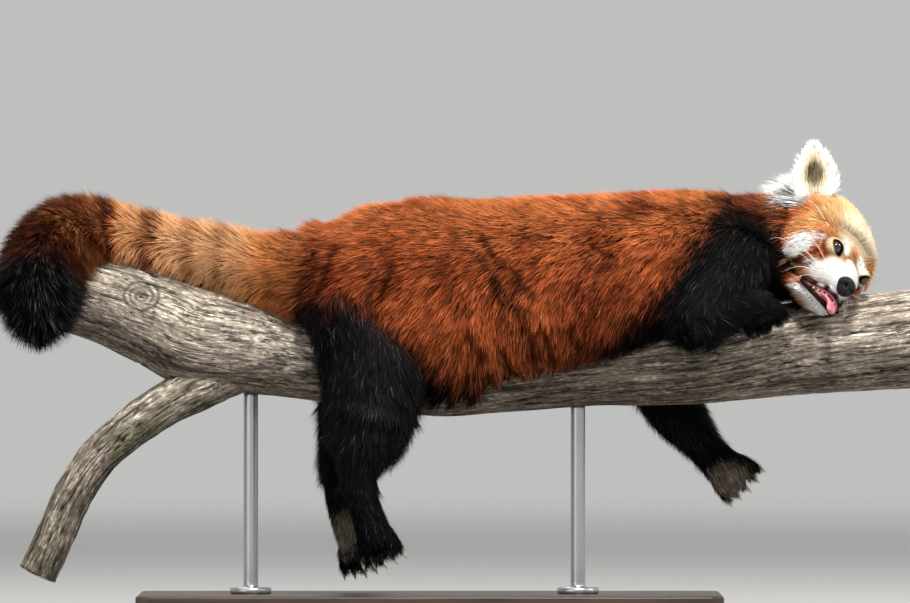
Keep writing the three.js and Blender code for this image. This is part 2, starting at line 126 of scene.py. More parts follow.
def paint(mesh, name, colours):
    layer = mesh.attributes.new(name, "FLOAT_COLOR", "POINT")
    flat = np.ones((len(colours), 4), np.float32)
    flat[:, :3] = colours
    layer.data.foreach_set("color", flat.ravel())


# Forms: stations are x, y, z, half width and half height out to the tips of the coat.

head = {
    "origin": (401.3, -46, 335.4),
    "forward": (0.561, -0.796, -0.226),
    "left": (0.538, 0.559, -0.631),
    "eyeSpread": 23,
    "eyeRadius": 8,
    "eyeForward": -3,
}
headOrigin = np.array(head["origin"], float)
headForward = unit(np.array(head["forward"]))
headUp = unit(np.cross(headForward, np.array(head["left"])))
headLeft = np.cross(headUp, headForward)
headAxes = np.array([headForward, headLeft, headUp])


def toRoom(p):
    return np.asarray(p, float) @ headAxes + headOrigin


def toHead(p):
    return (np.asarray(p, float) - headOrigin) @ headAxes.T


def chain(stations, shares):
    # a smooth curve through the stations
    p = np.asarray(stations, float)
    last = len(p) - 1
    t = np.clip(np.atleast_1d(shares), 0, 1) * last
    k = np.minimum(t.astype(int), last - 1)
    u = (t - k)[:, None]
    p = np.vstack([2 * p[0] - p[1], p, 2 * p[-1] - p[-2]])
    a, b, c, d = p[k], p[k + 1], p[k + 2], p[k + 3]
    bend = (2 * a - 5 * b + 4 * c - d) * u**2
    return 0.5 * (2 * b + (c - a) * u + bend + (3 * b - 3 * c + d - a) * u**3)


def frameAt(form, shares):
    stations = np.array(form["stations"], float)
    shares = np.atleast_1d(shares)
    centre = chain(stations[:, :3], shares)
    along = unit(chain(stations[:, :3], shares + 1e-3) - chain(stations[:, :3], shares - 1e-3))
    side = unit(np.cross(np.array(form.get("up", (0, 0, 1)), float), along))
    above = np.cross(along, side)
    size = chain(stations[:, 3:5], shares)
    if form.get("inHead"):
        centre, along, side, above = toRoom(centre), along @ headAxes, side @ headAxes, above @ headAxes
    return centre, along, side, above, size[:, 0], size[:, 1]


def ringShape(angles, square):
    c, s = np.cos(angles), np.sin(angles)
    return np.sign(c) * np.abs(c) ** (2 / square), np.sign(s) * np.abs(s) ** (2 / square)


def tube(rows, sides):
    # quads between the rings of a tube
    i, j = np.meshgrid(np.arange(rows - 1), np.arange(sides), indexing="ij")
    n = (j + 1) % sides
    low, high = i * sides, (i + 1) * sides
    return np.stack([low + j, low + n, high + n, high + j], -1).reshape(-1, 4)


def sweep(form, inset=0.0, rings=30, sides=32, capRings=5):
    # a closed shell along a form's stations, with round ends
    bend = np.linspace(math.pi / 2, 0, capRings + 1)[1:-1]
    shares = np.concatenate([np.zeros(len(bend)), np.linspace(0, 1, rings), np.ones(len(bend))])
    scale = np.concatenate([np.cos(bend), np.ones(rings), np.cos(bend[::-1])])
    push = np.concatenate([-np.sin(bend), np.zeros(rings), np.sin(bend[::-1])])
    centre, along, side, above, halfSide, halfAbove = frameAt(form, shares)
    cap = np.maximum(form.get("cap", 0.7) * np.minimum(halfSide, halfAbove) - inset, 1.5)
    c, s = ringShape(np.arange(sides) / sides * 2 * math.pi, form.get("square", 2))
    base = centre + along * (push * cap)[:, None]
    a = (scale * (halfSide - inset))[:, None, None] * c[None, :, None] * side[:, None]
    b = (scale * (halfAbove - inset))[:, None, None] * s[None, :, None] * above[:, None]
    verts = (base[:, None] + a + b).reshape(-1, 3)
    rows = len(shares)
    poles = np.array([centre[0] - along[0] * cap[0], centre[-1] + along[-1] * cap[-1]])
    verts = np.vstack([verts, poles])
    j = np.arange(sides)
    n = (j + 1) % sides
    first = np.stack([np.full(sides, rows * sides), n, j], -1)
    end = np.stack([np.full(sides, rows * sides + 1), (rows - 1) * sides + j, (rows - 1) * sides + n], -1)
    return verts, tube(rows, sides).tolist() + first.tolist() + end.tolist()


def ellipsoid(centre, radii, inHead=True, columns=32, rows=20):
    form = {"stations": [(*centre, 1, 1), (centre[0] + 0.01, centre[1], centre[2], 1, 1)]}
    verts, faces = sweep(form, 0, 2, columns, rows // 2)
    verts = unit(verts - np.array(centre)) * np.array(radii) + np.array(centre)
    return (toRoom(verts) if inHead else verts), faces


def joined(shells):
    verts, faces, count = [], [], 0
    for v, f in shells:
        verts.append(v)
        faces += [[k + count for k in face] for face in f]
        count += len(v)
    return np.vstack(verts), faces


branchForm = {
    "stations": [
        (-392, 6, 326, 42, 43), (-354, 5, 315, 43, 44), (-307, 4, 301, 44, 45), (-256, 2, 280, 46, 49),
        (-221, 0, 264, 47, 51), (-180, 0, 256, 44, 47), (-118, 0, 242, 39, 39), (-57, 0, 233, 38, 38),
        (11, 0, 225, 38, 38), (67, 0, 229, 38, 38), (163, 0, 237, 40, 40), (259, 0, 242, 43, 43),
        (355, 0, 254, 45, 46), (478, 0, 264, 48, 49),
    ],
    "cap": 0.1,
}
forkForm = {
    "stations": [
        (-168, -8, 228, 12, 12), (-214, -12, 218, 21, 22), (-250, -16, 202, 21, 22), (-288, -20, 176, 20, 21),
        (-318, -22, 149, 19, 20), (-341, -22, 115, 19, 20), (-357, -20, 78, 19, 20), (-376, -18, 38, 19, 20),
    ],
    "cap": 0.1,
}

# inset is the coat's depth; lie is +1 where the hair points along the stations and -1 against them
bodyForms = {
    "torso": {
        "stations": [
            (-106, 0, 326, 62, 58), (-74, 0, 316, 84, 84), (-29, 0, 304, 97, 100), (19, 0, 300, 101, 103.5),
            (67, 0, 305, 101, 98), (115, 0, 312, 99, 94), (163, 0, 321, 95, 87), (211, 0, 331, 89, 79),
            (259, 0, 337, 82, 74), (290, 0, 341, 70, 69),
        ],
        "square": 2.3, "inset": 12, "lie": -1, "droop": 0.42,
    },
    "neck": {
        "stations": [
            (278, 0, 342, 62, 64), (318, -2, 348, 58, 60), (352, -4, 352, 54, 55), (378, -5, 354, 46, 48),
        ],
        "inset": 11, "lie": -1, "droop": 0.35,
    },
    "tail": {
        "stations": [
            (-118, 0, 327, 46, 49), (-155, 0, 332, 38, 40), (-183, 0, 340, 34, 35), (-211, 0, 347, 33, 33),
            (-239, 0, 353, 31, 31), (-269, 0, 361, 30, 30), (-297, -2, 368, 30, 30), (-323, -8, 371, 34, 34),
            (-347, -24, 366, 38, 39), (-366, -48, 348, 41, 42), (-373, -66, 323, 42, 46),
            (-373, -72, 305, 39, 46), (-373, -75, 291, 30, 38),
        ],
        "up": (0, -0.55, 0.83), "cap": 0.9, "inset": 10, "sink": 3.5, "lie": 1, "droop": 0.1,
    },
}
# limb stations: x, distance out from the middle plane, z, half width across, half width fore and aft
limbs = {
    "thigh_right": [
        (-82, 46, 306, 34, 50), (-60, 60, 262, 38, 60), (-54, 69, 214, 36, 56), (-54, 72, 196, 34, 50),
    ],
    "shin_right": [
        (-56, 72, 196, 34, 50), (-61, 72, 166, 30, 43), (-66, 70, 140, 24, 26), (-66, 68, 118, 20, 20),
    ],
    "hindfoot_right": [
        (-69, 68, 128, 19, 20), (-62, 68, 102, 20, 19), (-55, 69, 82, 20, 20), (-50, 70, 68, 17, 19),
    ],
    "thigh_left": [
        (-82, 46, 306, 34, 48), (-74, 60, 258, 36, 54), (-78, 67, 214, 32, 40), (-80, 68, 196, 30, 34),
    ],
    "shin_left": [
        (-80, 68, 196, 28, 34), (-86, 66, 168, 25, 27), (-91, 62, 142, 21, 22), (-90, 58, 126, 19, 19),
    ],
    "hindfoot_left": [
        (-90, 58, 134, 18, 18), (-84, 56, 106, 17, 20), (-75, 54, 74, 16, 20), (-69, 53, 56, 14, 19),
    ],
    "arm_right": [
        (296, 46, 356, 34, 46), (276, 64, 316, 36, 46), (256, 74, 284, 32, 40), (250, 76, 274, 28, 34),
    ],
    "forearm_right": [
        (244, 74, 276, 28, 30), (268, 76, 285, 26, 28), (292, 74, 298, 23, 25), (304, 72, 303, 20, 22),
    ],
    "forepaw_right": [(298, 72, 305, 18, 21), (311, 69, 296, 17, 21), (317, 64, 286, 15, 20)],
    "arm_left": [
        (292, 46, 350, 34, 44), (268, 62, 300, 34, 42), (240, 70, 246, 32, 40), (228, 70, 216, 30, 38),
    ],
    "forearm_left": [
        (226, 70, 218, 28, 38), (238, 66, 194, 26, 33), (256, 62, 170, 22, 26), (270, 58, 152, 19, 21),
    ],
    "forepaw_left": [(266, 58, 157, 17, 20), (282, 55, 140, 16, 23), (292, 54, 131, 14, 22)],
}
limbInset = {"thigh": 12, "shin": 8, "hindfoot": 4, "arm": 10, "forearm": 7, "forepaw": 4}
for limbName, limbStations in limbs.items():
    side = 1 if limbName.endswith("left") else -1
    bodyForms[limbName] = {
        "stations": [(x, side * out, z, w, h) for x, out, z, w, h in limbStations],
        "up": (1, 0, 0.2), "inset": limbInset[limbName.split("_")[0]], "lie": 1, "droop": 0.15,
        "cap": 0.2 if "foot" in limbName or "paw" in limbName else 0.7,
    }
toe = {"halfWidth": 4.2, "halfHeight": 6.6, "spread": 0.44, "reach": 15, "clawLength": 11, "clawRadius": 2.1}

headForms = {
    "skull": {
        "stations": [
            (-84, 0, 13, 35, 37), (-64, 0, 9, 53, 49), (-42, 0, 2.5, 57, 47.5), (-24, 0, -8, 54, 39),
            (-9, 0, -12.5, 42, 30.5), (0, 0, -14.5, 29, 22),
        ],
        "cap": 0.35, "inset": 6, "lie": -1, "inHead": True, "droop": 0,
    },
    "muzzle": {
        "stations": [
            (-20, 0, -17, 31, 29), (-2, 0, -20, 27, 24.5), (8, 0, -22.5, 22, 19.5), (15, 0, -25, 16, 13),
        ],
        "square": 2.2, "inset": 2, "lie": -1, "inHead": True, "droop": 0,
    },
    "jaw": {
        "stations": [
            (-28, 0, -45.5, 25, 12), (-10, 0, -48.5, 24, 9), (4, 0, -51, 19, 7), (11, 0, -51.5, 13, 6),
        ],
        "inset": 2, "lie": -1, "inHead": True, "droop": 0,
    },
}
lipRadius = {"upper": 2.6, "lower": 2.2}
upperLip = [(-6, -28, -42.5), (6, -21, -41.5), (13, -12, -38), (14, 0, -36.5)]
lowerLip = [(-8, -25, -45.5), (4, -19, -48), (12, -9.5, -49.8), (14, 0, -50)]
upperLip = [(*p, lipRadius["upper"], lipRadius["upper"]) for p in upperLip]
lowerLip = [(*p, lipRadius["lower"], lipRadius["lower"]) for p in lowerLip]
ears = {
    "ear_right": {
        "side": -1, "base": (-51, 44, 30), "tip": (-65, 80, 74), "facing": (0.8, 0.5, 0.1),
        "halfWidth": 26, "cup": 13,
    },
    "ear_left": {
        "side": 1, "base": (-52, 43, 30), "tip": (-94, 72, 46), "facing": (0.5, 0.7, 0.5),
        "halfWidth": 24, "cup": 12,
    },
}


def earFrame(ear):
    mirrored = [(ear[key][0], ear["side"] * ear[key][1], ear[key][2]) for key in ("base", "tip", "facing")]
    base, tip, facing = np.array(mirrored, float)
    along = unit(tip - base)
    across = unit(np.cross(along, facing))
    return base, along, across, np.cross(across, along), np.linalg.norm(tip - base)


def earPoint(ear, across, rise, front, thickness=3.0):
    # across -1..1, rise 0..1 from base to tip, front -1 behind to 1 in front
    base, along, sideways, ahead, length = earFrame(ear)
    y = 2 * rise - 1
    hollow = ear["cup"] * (across**2 + 0.5 * y**2 - 0.6)
    narrow = 1.08 - 0.78 * rise**1.5
    p = base + along * (rise * length - 8 * (1 - rise))[:, None]
    p = p + sideways * (across * narrow * ear["halfWidth"])[:, None]
    return toRoom(p + ahead * (hollow + front * thickness)[:, None])


def earShell(ear):
    verts, faces = ellipsoid((0, 0, 0), (1, 1, 1), False, 40, 28)
    return earPoint(ear, verts[:, 1] * 0.93, (verts[:, 0] + 1) / 2 * 0.88, -verts[:, 2], 2.4), faces


def lipTube(stations, grow=0.0):
    other = [(x, -y, z, w, h) for x, y, z, w, h in reversed(stations[:-1])]
    return sweep({"stations": stations + other, "up": (1, 0, 0.2), "inHead": True}, -grow, 40, 12, 4)


# the lids are a dome over each eye with an opening whose inner corner is low
lids = {"dome": 9.3, "width": 7.6, "height": 3.5, "tilt": 31}


def lidAxes(side):
    # head axes of an eye: out of the opening, along it towards the inner corner, and across it
    tilt = math.radians(lids["tilt"])
    gaze = unit(np.array([0.90, side * 0.42, 0.0]))
    inward = -np.cross((0, 0, side), gaze)
    along = inward * math.cos(tilt) - np.array([0, 0, math.sin(tilt)])
    return gaze, along, np.cross(gaze, along)


def lidCutter(side):
    d, faces = ellipsoid((0, 0, 0), (1, 1, 1), False, 40, 24)
    gaze, along, across = lidAxes(side)
    centre = np.array([head["eyeForward"], side * head["eyeSpread"], 0]) + gaze * 9
    return toRoom(centre + d @ np.array([gaze * 5, along * lids["width"], across * lids["height"]])), faces


def pawParts(name):
    # five toes as shells and where each claw starts, with its heading
    form = bodyForms[name]
    centre, along, side, above, _, halfAbove = (v[0] for v in frameAt(form, [1.0]))
    shells, claws = [], []
    for k in range(-2, 3):
        start = centre + above * k * toe["spread"] * halfAbove
        heading = unit(along + above * k * 0.1)
        end = start + heading * (toe["reach"] - 2.2 * abs(k - 0.4))
        points = (start - heading * 8, start, end)
        stations = [(*p, toe["halfHeight"] - 1, toe["halfWidth"] - 0.6) for p in points]
        shells.append(sweep({"stations": stations, "up": form["up"], "cap": 1.0}, 0, 8, 16, 4))
        claws.append((end, heading, side, above))
    return shells, claws


# voxel sizes, rounds of smoothing and the gap left to the branch
skinSet = {"bodyGrid": 2.7, "headGrid": 1.25, "bodyRounds": 6, "headRounds": 3, "clear": 0.8}


def makeSkin():
    shells, claws = [], {}
    for name, form in bodyForms.items():
        # the tail's skin sinks towards the log, so that no daylight shows under it
        low = [(x, y, z - form.get("sink", 0), w, h) for x, y, z, w, h in form["stations"]]
        shells.append(sweep({**form, "stations": low}, form["inset"], 60, 40))
        if "foot" in name or "paw" in name:
            toes, claws[name] = pawParts(name)
            shells += toes
    body = remeshed(makeObject("skin", *joined(shells)), skinSet["bodyGrid"], skinSet["bodyRounds"])
    face = makeObject("face", *sweep(headForms["skull"], headForms["skull"]["inset"], 50, 48))
    combine(face, makeObject("muzzle", *sweep(headForms["muzzle"], 2, 30, 40)), "UNION")
    for side in (-1, 1):
        socket = ellipsoid((head["eyeForward"] + 15, side * (head["eyeSpread"] + 3), 1), (13, 14, 11))
        combine(face, makeObject("socket", *socket), "DIFFERENCE")
        eye = (head["eyeForward"], side * head["eyeSpread"], 0)
        combine(face, makeObject("dome", *ellipsoid(eye, (lids["dome"],) * 3)), "UNION")
        combine(face, makeObject("opening", *lidCutter(side)), "DIFFERENCE")
    faceVerts = vertexPlaces(face.data)
    faceFaces = [list(p.vertices) for p in face.data.polygons]
    parts = [(faceVerts, faceFaces), sweep(headForms["jaw"], 2.4, 30, 40)]
    parts += [lipTube(upperLip), lipTube(lowerLip), earShell(ears["ear_right"]), earShell(ears["ear_left"])]
    bpy.data.objects.remove(face, do_unlink=True)
    face = remeshed(makeObject("face", *joined(parts)), skinSet["headGrid"], skinSet["headRounds"])
    print("body and head shells", len(body.data.polygons), len(face.data.polygons))
    combine(body, face, "UNION")
    print("joined", len(body.data.polygons))
    # a slot as wide as the log takes away what the skin has below its top
    below = [(x, y, z - 60, w - 1, h + 40) for x, y, z, w, h in branchForm["stations"]]
    slot = {"stations": below, "square": 8, "cap": 0.1}
    combine(body, makeObject("slot", *sweep(slot, 0, 40, 48)), "DIFFERENCE")
    combine(body, makeObject("room", *sweep(branchForm, -skinSet["clear"], 60, 64)), "DIFFERENCE")
    print("cut to the branch", len(body.data.polygons))
    body.data.polygons.foreach_set("use_smooth", np.ones(len(body.data.polygons), bool))
    return body, claws


skin, claws = makeSkin()
print("skin", len(skin.data.vertices), len(skin.data.polygons))

# Markings, as linear colours.

tint = {
    "rust": (0.33, 0.068, 0.015), "deepRust": (0.125, 0.022, 0.006), "orange": (0.52, 0.17, 0.042),
    "buff": (0.68, 0.40, 0.19), "brownBlack": (0.015, 0.007, 0.005), "black": (0.0042, 0.0040, 0.0044),
    "white": (0.79, 0.77, 0.735), "cream": (0.74, 0.60, 0.40), "ochre": (0.57, 0.31, 0.12),
    "earDark": (0.105, 0.080, 0.040), "sole": (0.22, 0.18, 0.13), "paleTip": (0.42, 0.30, 0.25),
    "frostAndSheen": (0.065, 0.063, 0.072), "lip": (0.085, 0.028, 0.026), "lid": (0.018, 0.013, 0.012),
}
tint = {name: np.array(value) for name, value in tint.items()}

# soft patches on both sides of the head: place and reach as forward, outward, up, and width of the edge
faceMarks = [
    ("ochre", (-22, 14, 34), (30, 26, 26), 0.9),
    ("buff", (-30, 4, 48), (40, 30, 16), 0.9),
    ("rust", (-52, 50, -6), (26, 22, 30), 0.7),
    ("deepRust", (-56, 48, -22), (22, 20, 20), 0.8),
    ("rust", (-12, 33, -8), (15, 12, 13), 0.5),
    ("deepRust", (-22, 32, -24), (12, 9, 8), 0.6),
    ("ochre", (-30, 32, -38), (12, 14, 10), 0.6),
    ("white", (-6, 42, 3), (8, 9, 9), 0.4),
    ("white", (-13, 43, -9), (9.5, 9, 10), 0.4),
    ("white", (-21, 43, -20), (9.5, 9, 9), 0.4),
    ("cream", (0, 24.5, 0.5), (12, 11, 8), 0.5),
    ("cream", (-4, 9, 26), (24, 16, 14), 1.0),
    ("white", (4, 12.5, 11), (9, 8, 10), 0.45),
    ("rust", (3, 0, 16), (8, 6.5, 9), 0.6),
    ("white", (10, 13, -26), (20, 17, 19), 0.45),
    ("white", (1, 27, -31), (13, 11, 12), 0.5),
    ("white", (14, 0, -6), (14, 11, 13), 0.4),
    ("white", (10, 12, -52), (26, 24, 9), 0.35),
    ("white", (-10, 20, -55), (12, 12, 9), 0.5),
]
# shares of the tail's length and how dark its coat is there
tailRings = [
    (0, 0.6), (0.06, 0.45), (0.11, 0.12), (0.19, 0.08), (0.205, 0.42), (0.225, 0.40), (0.24, 0.08),
    (0.28, 0.06), (0.295, 0.50), (0.315, 0.48), (0.33, 0.04), (0.385, 0.04), (0.40, 0.72), (0.43, 0.72),
    (0.445, 0.04), (0.515, 0.0), (0.535, 0.95), (0.565, 0.95), (0.60, 0.35), (0.66, 0.85), (0.72, 0.4),
    (0.77, 0.9), (0.82, 0.95), (1, 1),
]
# x along the body and the height z where its rust turns to black
blackEdge = [
    (-130, 306), (-112, 302), (-80, 302), (-63, 300), (-45, 288), (-30, 276), (-10, 260), (19, 242),
    (44, 227), (60, 222), (90, 222), (134, 240), (155, 256), (176, 272), (201, 290), (233, 314), (240, 336),
    (259, 360), (274, 374), (285, 385), (305, 388), (325, 378), (341, 366), (352, 310), (375, 290),
]


def eyeDistance(h):
    # 1 at the edge of the dark rim of the eyes
    out = np.abs(h[:, 1]) - head["eyeSpread"] - 1.5
    tilt = math.radians(lids["tilt"])
    a, b = out * math.cos(tilt) + h[:, 2] * math.sin(tilt), h[:, 2] * math.cos(tilt) - out * math.sin(tilt)
    return np.sqrt(((h[:, 0] - 4) / 10) ** 2 + (a / 8.9) ** 2 + (b / 4.9) ** 2)


# painted shade in the folds of the coat on the flank and rump, as x and z along each
creases = [
    [(45, 361), (56, 340), (77, 322), (94, 300)], [(58, 316), (64, 297), (80, 284), (94, 262), (99, 242)],
    [(67, 246), (80, 228)], [(108, 262), (120, 236)], [(36, 262), (52, 236)], [(132, 268), (140, 246)],
    [(-96, 351), (-106, 319), (-115, 297)], [(-40, 330), (-52, 300)], [(150, 352), (172, 338)],
]


def awayFrom(q, a, b):
    # distance of points from the line between a and b
    k = np.clip(((q - a) @ (b - a)) / ((b - a) @ (b - a)), 0, 1)[:, None]
    return np.linalg.norm(q - a - k * (b - a), axis=1)


def creaseShade(p):
    shade = np.zeros(len(p))
    here = p[:, [0, 2]] + 5 * (cloud(p / 9, 21) - 0.5)[:, None]
    for line in creases:
        for a, b in zip(line, line[1:]):
            shade = np.maximum(shade, step(6.5, 1.0, awayFrom(here, np.array(a, float), np.array(b, float))))
    return shade * step(400, 380, p[:, 2])


def headColour(p):
    h = toHead(p)
    folded = np.stack([h[:, 0], np.abs(h[:, 1]), h[:, 2]], 1)
    patchy = cloud(h / 9, 3) - 0.5
    colour = mix(tiled(tint["orange"], len(p)), tint["ochre"], step(0.25, 0.8, cloud(h / 7, 5)))
    colour = mix(colour, tint["rust"], step(-30, -62, h[:, 0] + 14 * patchy))
    for name, place, reach, edge in faceMarks:
        d = np.linalg.norm((folded - np.array(place)) / np.array(reach), axis=1)
        colour = mix(colour, tint[name], step(1 + edge / 2, 1 - edge / 2, d + 0.16 * patchy))
    colour = mix(colour, tint["lid"], step(1.12, 0.92, eyeDistance(h)))
    under = step(-60, -70, h[:, 2] + 6 * patchy) * step(-6, -22, h[:, 0])
    colour = mix(colour, tint["deepRust"], step(-14, -24, h[:, 0]) * step(-30, -42, h[:, 2]))
    throat = step(-20, -34, h[:, 0]) * step(-34, -50, h[:, 2])
    colour = mix(colour, tint["brownBlack"], np.maximum(under, throat))
    for line in (upperLip, lowerLip):
        points = np.array(line)[:, :3]
        for a, b in zip(points, points[1:]):
            colour = mix(colour, tint["lip"], step(3.6, 2.4, awayFrom(folded * (1, -1, 1), a, b)))
    return colour


def earColour(ear, share, across, front):
    middle = np.sqrt(((across - 0.04) / 0.60) ** 2 + ((share - 0.42) / 0.33) ** 2)
    inside = mix(tiled(tint["earDark"], len(share)), tint["cream"], step(0.35, 0.95, middle))
    inside = mix(inside, tint["white"], step(0.75, 1.35, middle))
    stripe = step(0.7, 0.3, np.abs(across)) * step(0.7, 0.4, share) * 0.85
    behind = mix(tiled(tint["white"], len(share)), tint["deepRust"], stripe)
    return mix(behind, inside, step(-0.2, 0.2, front))


# place and reach of the pale hair under the far hind foot and the far forepaw
farSoles = [((-82, 55, 78), (13, 30, 24)), ((288, 40, 128), (24, 26, 17))]


def coatColour(survey, p):
    part, share = survey["part"], survey["share"]
    x, z = p[:, 0], p[:, 2]
    drift = cloud(p / 26, 1) - 0.5
    fine = cloud(p / 8, 2) - 0.5
    # painted highlight: higher up the body the rust turns more orange, where the top of the back takes the
    # light
    rustHere = mix(tiled(tint["rust"], len(p)), tint["orange"], 0.45 * step(335, 400, z + 30 * drift))
    rustHere = mix(rustHere, tint["deepRust"], 0.9 * step(0.0, 0.34, -drift + 0.6 * fine))
    colour = mix(rustHere, tint["deepRust"], 0.9 * step(-40, -100, x) * step(375, 320, z))
    colour = mix(colour, tint["brownBlack"], 0.85 * creaseShade(p))
    # the lower neck is painted dark: its dark throat, and painted shade between the head and the shoulder
    colour = mix(colour, tint["brownBlack"], (part == partIndex["neck"]) * step(402, 384, z) * 0.75)
    edge = np.interp(x, *zip(*blackEdge))
    edge = edge + 16 * drift + 20 * fine
    colour = mix(colour, tint["brownBlack"], step(20, -8, z - edge))
    colour = mix(colour, tint["black"], step(4, -22, z - edge))
    limb = part >= partIndex["thigh_right"]
    upper = [partIndex[k] for k in ("thigh_right", "thigh_left", "arm_right", "arm_left")]
    lower = limb & ~np.isin(part, upper)
    colour[lower] = tint["black"]
    # brown-black patches on the black lower limbs: brownish hair, and painted highlight on the black fur
    warm = step(0.5, 0.9, cloud(p / 14, 6)) * 0.5
    colour[lower] = mix(colour[lower], tint["brownBlack"], warm[lower])
    tail = part == partIndex["tail"]
    s = share[tail] + 0.02 * (fine[tail])
    dark = np.interp(s, *zip(*tailRings))
    pale = 0.55 * step(0.08, 0.2, s) * step(0.53, 0.50, s) * (1 - 0.4 * step(0.36, 0.42, s))
    ring = mix(tiled(tint["orange"], tail.sum()), tint["buff"], pale)
    ring = mix(ring, tint["deepRust"], np.clip(dark * 1.1 + 0.35 * drift[tail] * step(0.5, 0.6, s), 0, 1))
    ring = mix(ring, tint["brownBlack"], 0.7 * step(0.85, 1.0, dark))
    ring = mix(ring, tint["brownBlack"], 0.45 * step(0.53, 0.57, s))
    colour[tail] = mix(ring, tint["black"], step(0.79, 0.87, s + 0.04 * drift[tail]))
    for place, reach in farSoles:
        d = np.sqrt((((p - np.array(place)) / np.array(reach)) ** 2).sum(1))
        colour = mix(colour, tint["sole"], step(1.15, 0.75, d) * (survey["y"] > 0) * limb)
    onHead = part >= partIndex["skull"]
    if onHead.any():
        colour[onHead] = headColour(p[onHead])
    for name in ears:
        here = part == partIndex[name]
        if here.any():
            colour[here] = earColour(ears[name], share[here], survey["across"][here], survey["front"][here])
    return colour


# The lie of the coat: a vertex of the skin learns its part, its share of it and where its hair points.

partNames = list(bodyForms) + list(headForms) + list(ears)
partIndex = {name: i for i, name in enumerate(partNames)}
droops = np.array([{**bodyForms, **headForms}.get(name, {}).get("droop", 0) for name in partNames])


def guides():
    places, parts, shares, turns, lies, fronts = [], [], [], [], [], []
    for name, form in {**bodyForms, **headForms}.items():
        count = 70 if name in ("torso", "tail") else 36
        s, a = np.meshgrid(np.linspace(-0.02, 1.02, count), np.arange(40) / 40 * 2 * math.pi, indexing="ij")
        s, a = s.ravel(), a.ravel()
        centre, along, side, above, halfSide, halfAbove = frameAt(form, s)
        c, u = ringShape(a, form.get("square", 2))
        inset = form["inset"]
        outwards = side * (c * (halfSide - inset))[:, None] + above * (u * (halfAbove - inset))[:, None]
        places.append(centre + outwards)
        parts.append(np.full(len(s), partIndex[name]))
        shares.append(np.clip(s, 0, 1))
        turns.append(a / (2 * math.pi))
        lies.append(along * form["lie"])
        fronts.append(np.zeros(len(s)))
    for name, ear in ears.items():
        x, r, f = np.meshgrid(np.linspace(-1, 1, 15), np.linspace(0.05, 1, 16), (-1.0, 1.0), indexing="ij")
        x, r, f = x.ravel(), r.ravel(), f.ravel()
        _, along, across, _, _ = earFrame(ear)
        reach = np.sqrt(np.maximum(0, 1 - (2 * r - 1) ** 2))
        places.append(earPoint(ear, x * reach, r, f * np.sqrt(1 - (x * reach) ** 2 * 0.8) * 0.6))
        parts.append(np.full(len(x), partIndex[name]))
        shares.append(r)
        turns.append(x * 0.5 + 0.5)
        lies.append((along[None] + across[None] * (x * 0.6)[:, None]) @ headAxes)
        fronts.append(f)
    return [np.concatenate(v) for v in (places, parts, shares, turns, lies, fronts)]


def branchClearance(p, form=branchForm):
    # how far points are outside the branch, and the way out of it
    shares = np.linspace(0, 1, 200)
    centre, _, side, above, halfSide, halfAbove = frameAt(form, shares)
    k = np.clip(np.searchsorted(centre[:, 0], p[:, 0]), 1, len(shares) - 1)
    away = p - centre[k]
    a, b = (away * side[k]).sum(1), (away * above[k]).sum(1)
    r = np.sqrt((a / halfSide[k]) ** 2 + (b / halfAbove[k]) ** 2)
    outward = unit(side[k] * (a / halfSide[k] ** 2)[:, None] + above[k] * (b / halfAbove[k] ** 2)[:, None])
    inSpan = (p[:, 0] > centre[0, 0]) & (p[:, 0] < centre[-1, 0])
    return np.where(inSpan, (r - 1) * 0.5 * (halfSide[k] + halfAbove[k]), 99), outward


# the hair of the face fans out from here: forward, left, up
faceCentre = (22, 0, -16)


def surveySkin(mesh):
    places, parts, shares, turns, lies, fronts = guides()
    tree = kdtree.KDTree(len(places))
    for i, p in enumerate(places):
        tree.insert(p, i)
    tree.balance()
    verts = vertexPlaces(mesh)
    flat = np.empty(len(verts) * 3)
    mesh.vertices.foreach_get("normal", flat)
    normals = flat.reshape(-1, 3)
    near = np.empty(len(verts), int)
    lie = np.zeros((len(verts), 3))
    for i, p in enumerate(verts):
        found = tree.find_n(p, 5)
        near[i] = found[0][1]
        for _, k, d in found:
            lie[i] += lies[k] / (d + 2)
    part = parts[near]
    survey = {"place": verts, "normal": normals, "part": part, "share": shares[near], "turn": turns[near]}
    survey.update({"front": fronts[near], "across": 2 * turns[near] - 1, "y": verts[:, 1]})
    low = step(345, 250, verts[:, 2]) * (part == partIndex["torso"])
    lie = unit(lie) + np.array([0, 0, -1.0]) * (droops[part] * 1.3 + 1.4 * low)[:, None]
    folds = step(20, 50, verts[:, 0]) * step(150, 110, verts[:, 0]) * low
    lie[:, 0] += 1.15 * folds
    onHead = (part >= partIndex["skull"]) & (part < partIndex["ear_right"])
    h = toHead(verts)
    fan = unit(h - np.array(faceCentre))
    fan[:, 2] -= 1.7 * step(18, 44, np.abs(h[:, 1])) * step(25, 8, h[:, 2])
    lie[onHead] = (unit(fan) @ headAxes)[onHead]
    # beside the log the tail's hair turns down over its edge
    clear, _ = branchClearance(verts)
    lie[:, 2] -= 1.5 * step(30, 8, clear) * (part == partIndex["tail"])
    lie -= normals * (lie * normals).sum(1)[:, None]
    survey["lie"] = unit(lie)
    return survey


survey = surveySkin(skin.data)
survey["colour"] = coatColour(survey, survey["place"])
bright = survey["colour"].mean(1, keepdims=True)
# painted shade: the skin under the coat is painted darker, most under dark fur, so the gaps between tufts
# read dark
paint(skin.data, "coat", survey["colour"] * (0.25 + 0.6 * np.clip(bright / 0.6, 0, 1)))
print("survey of the skin", len(survey["place"]))

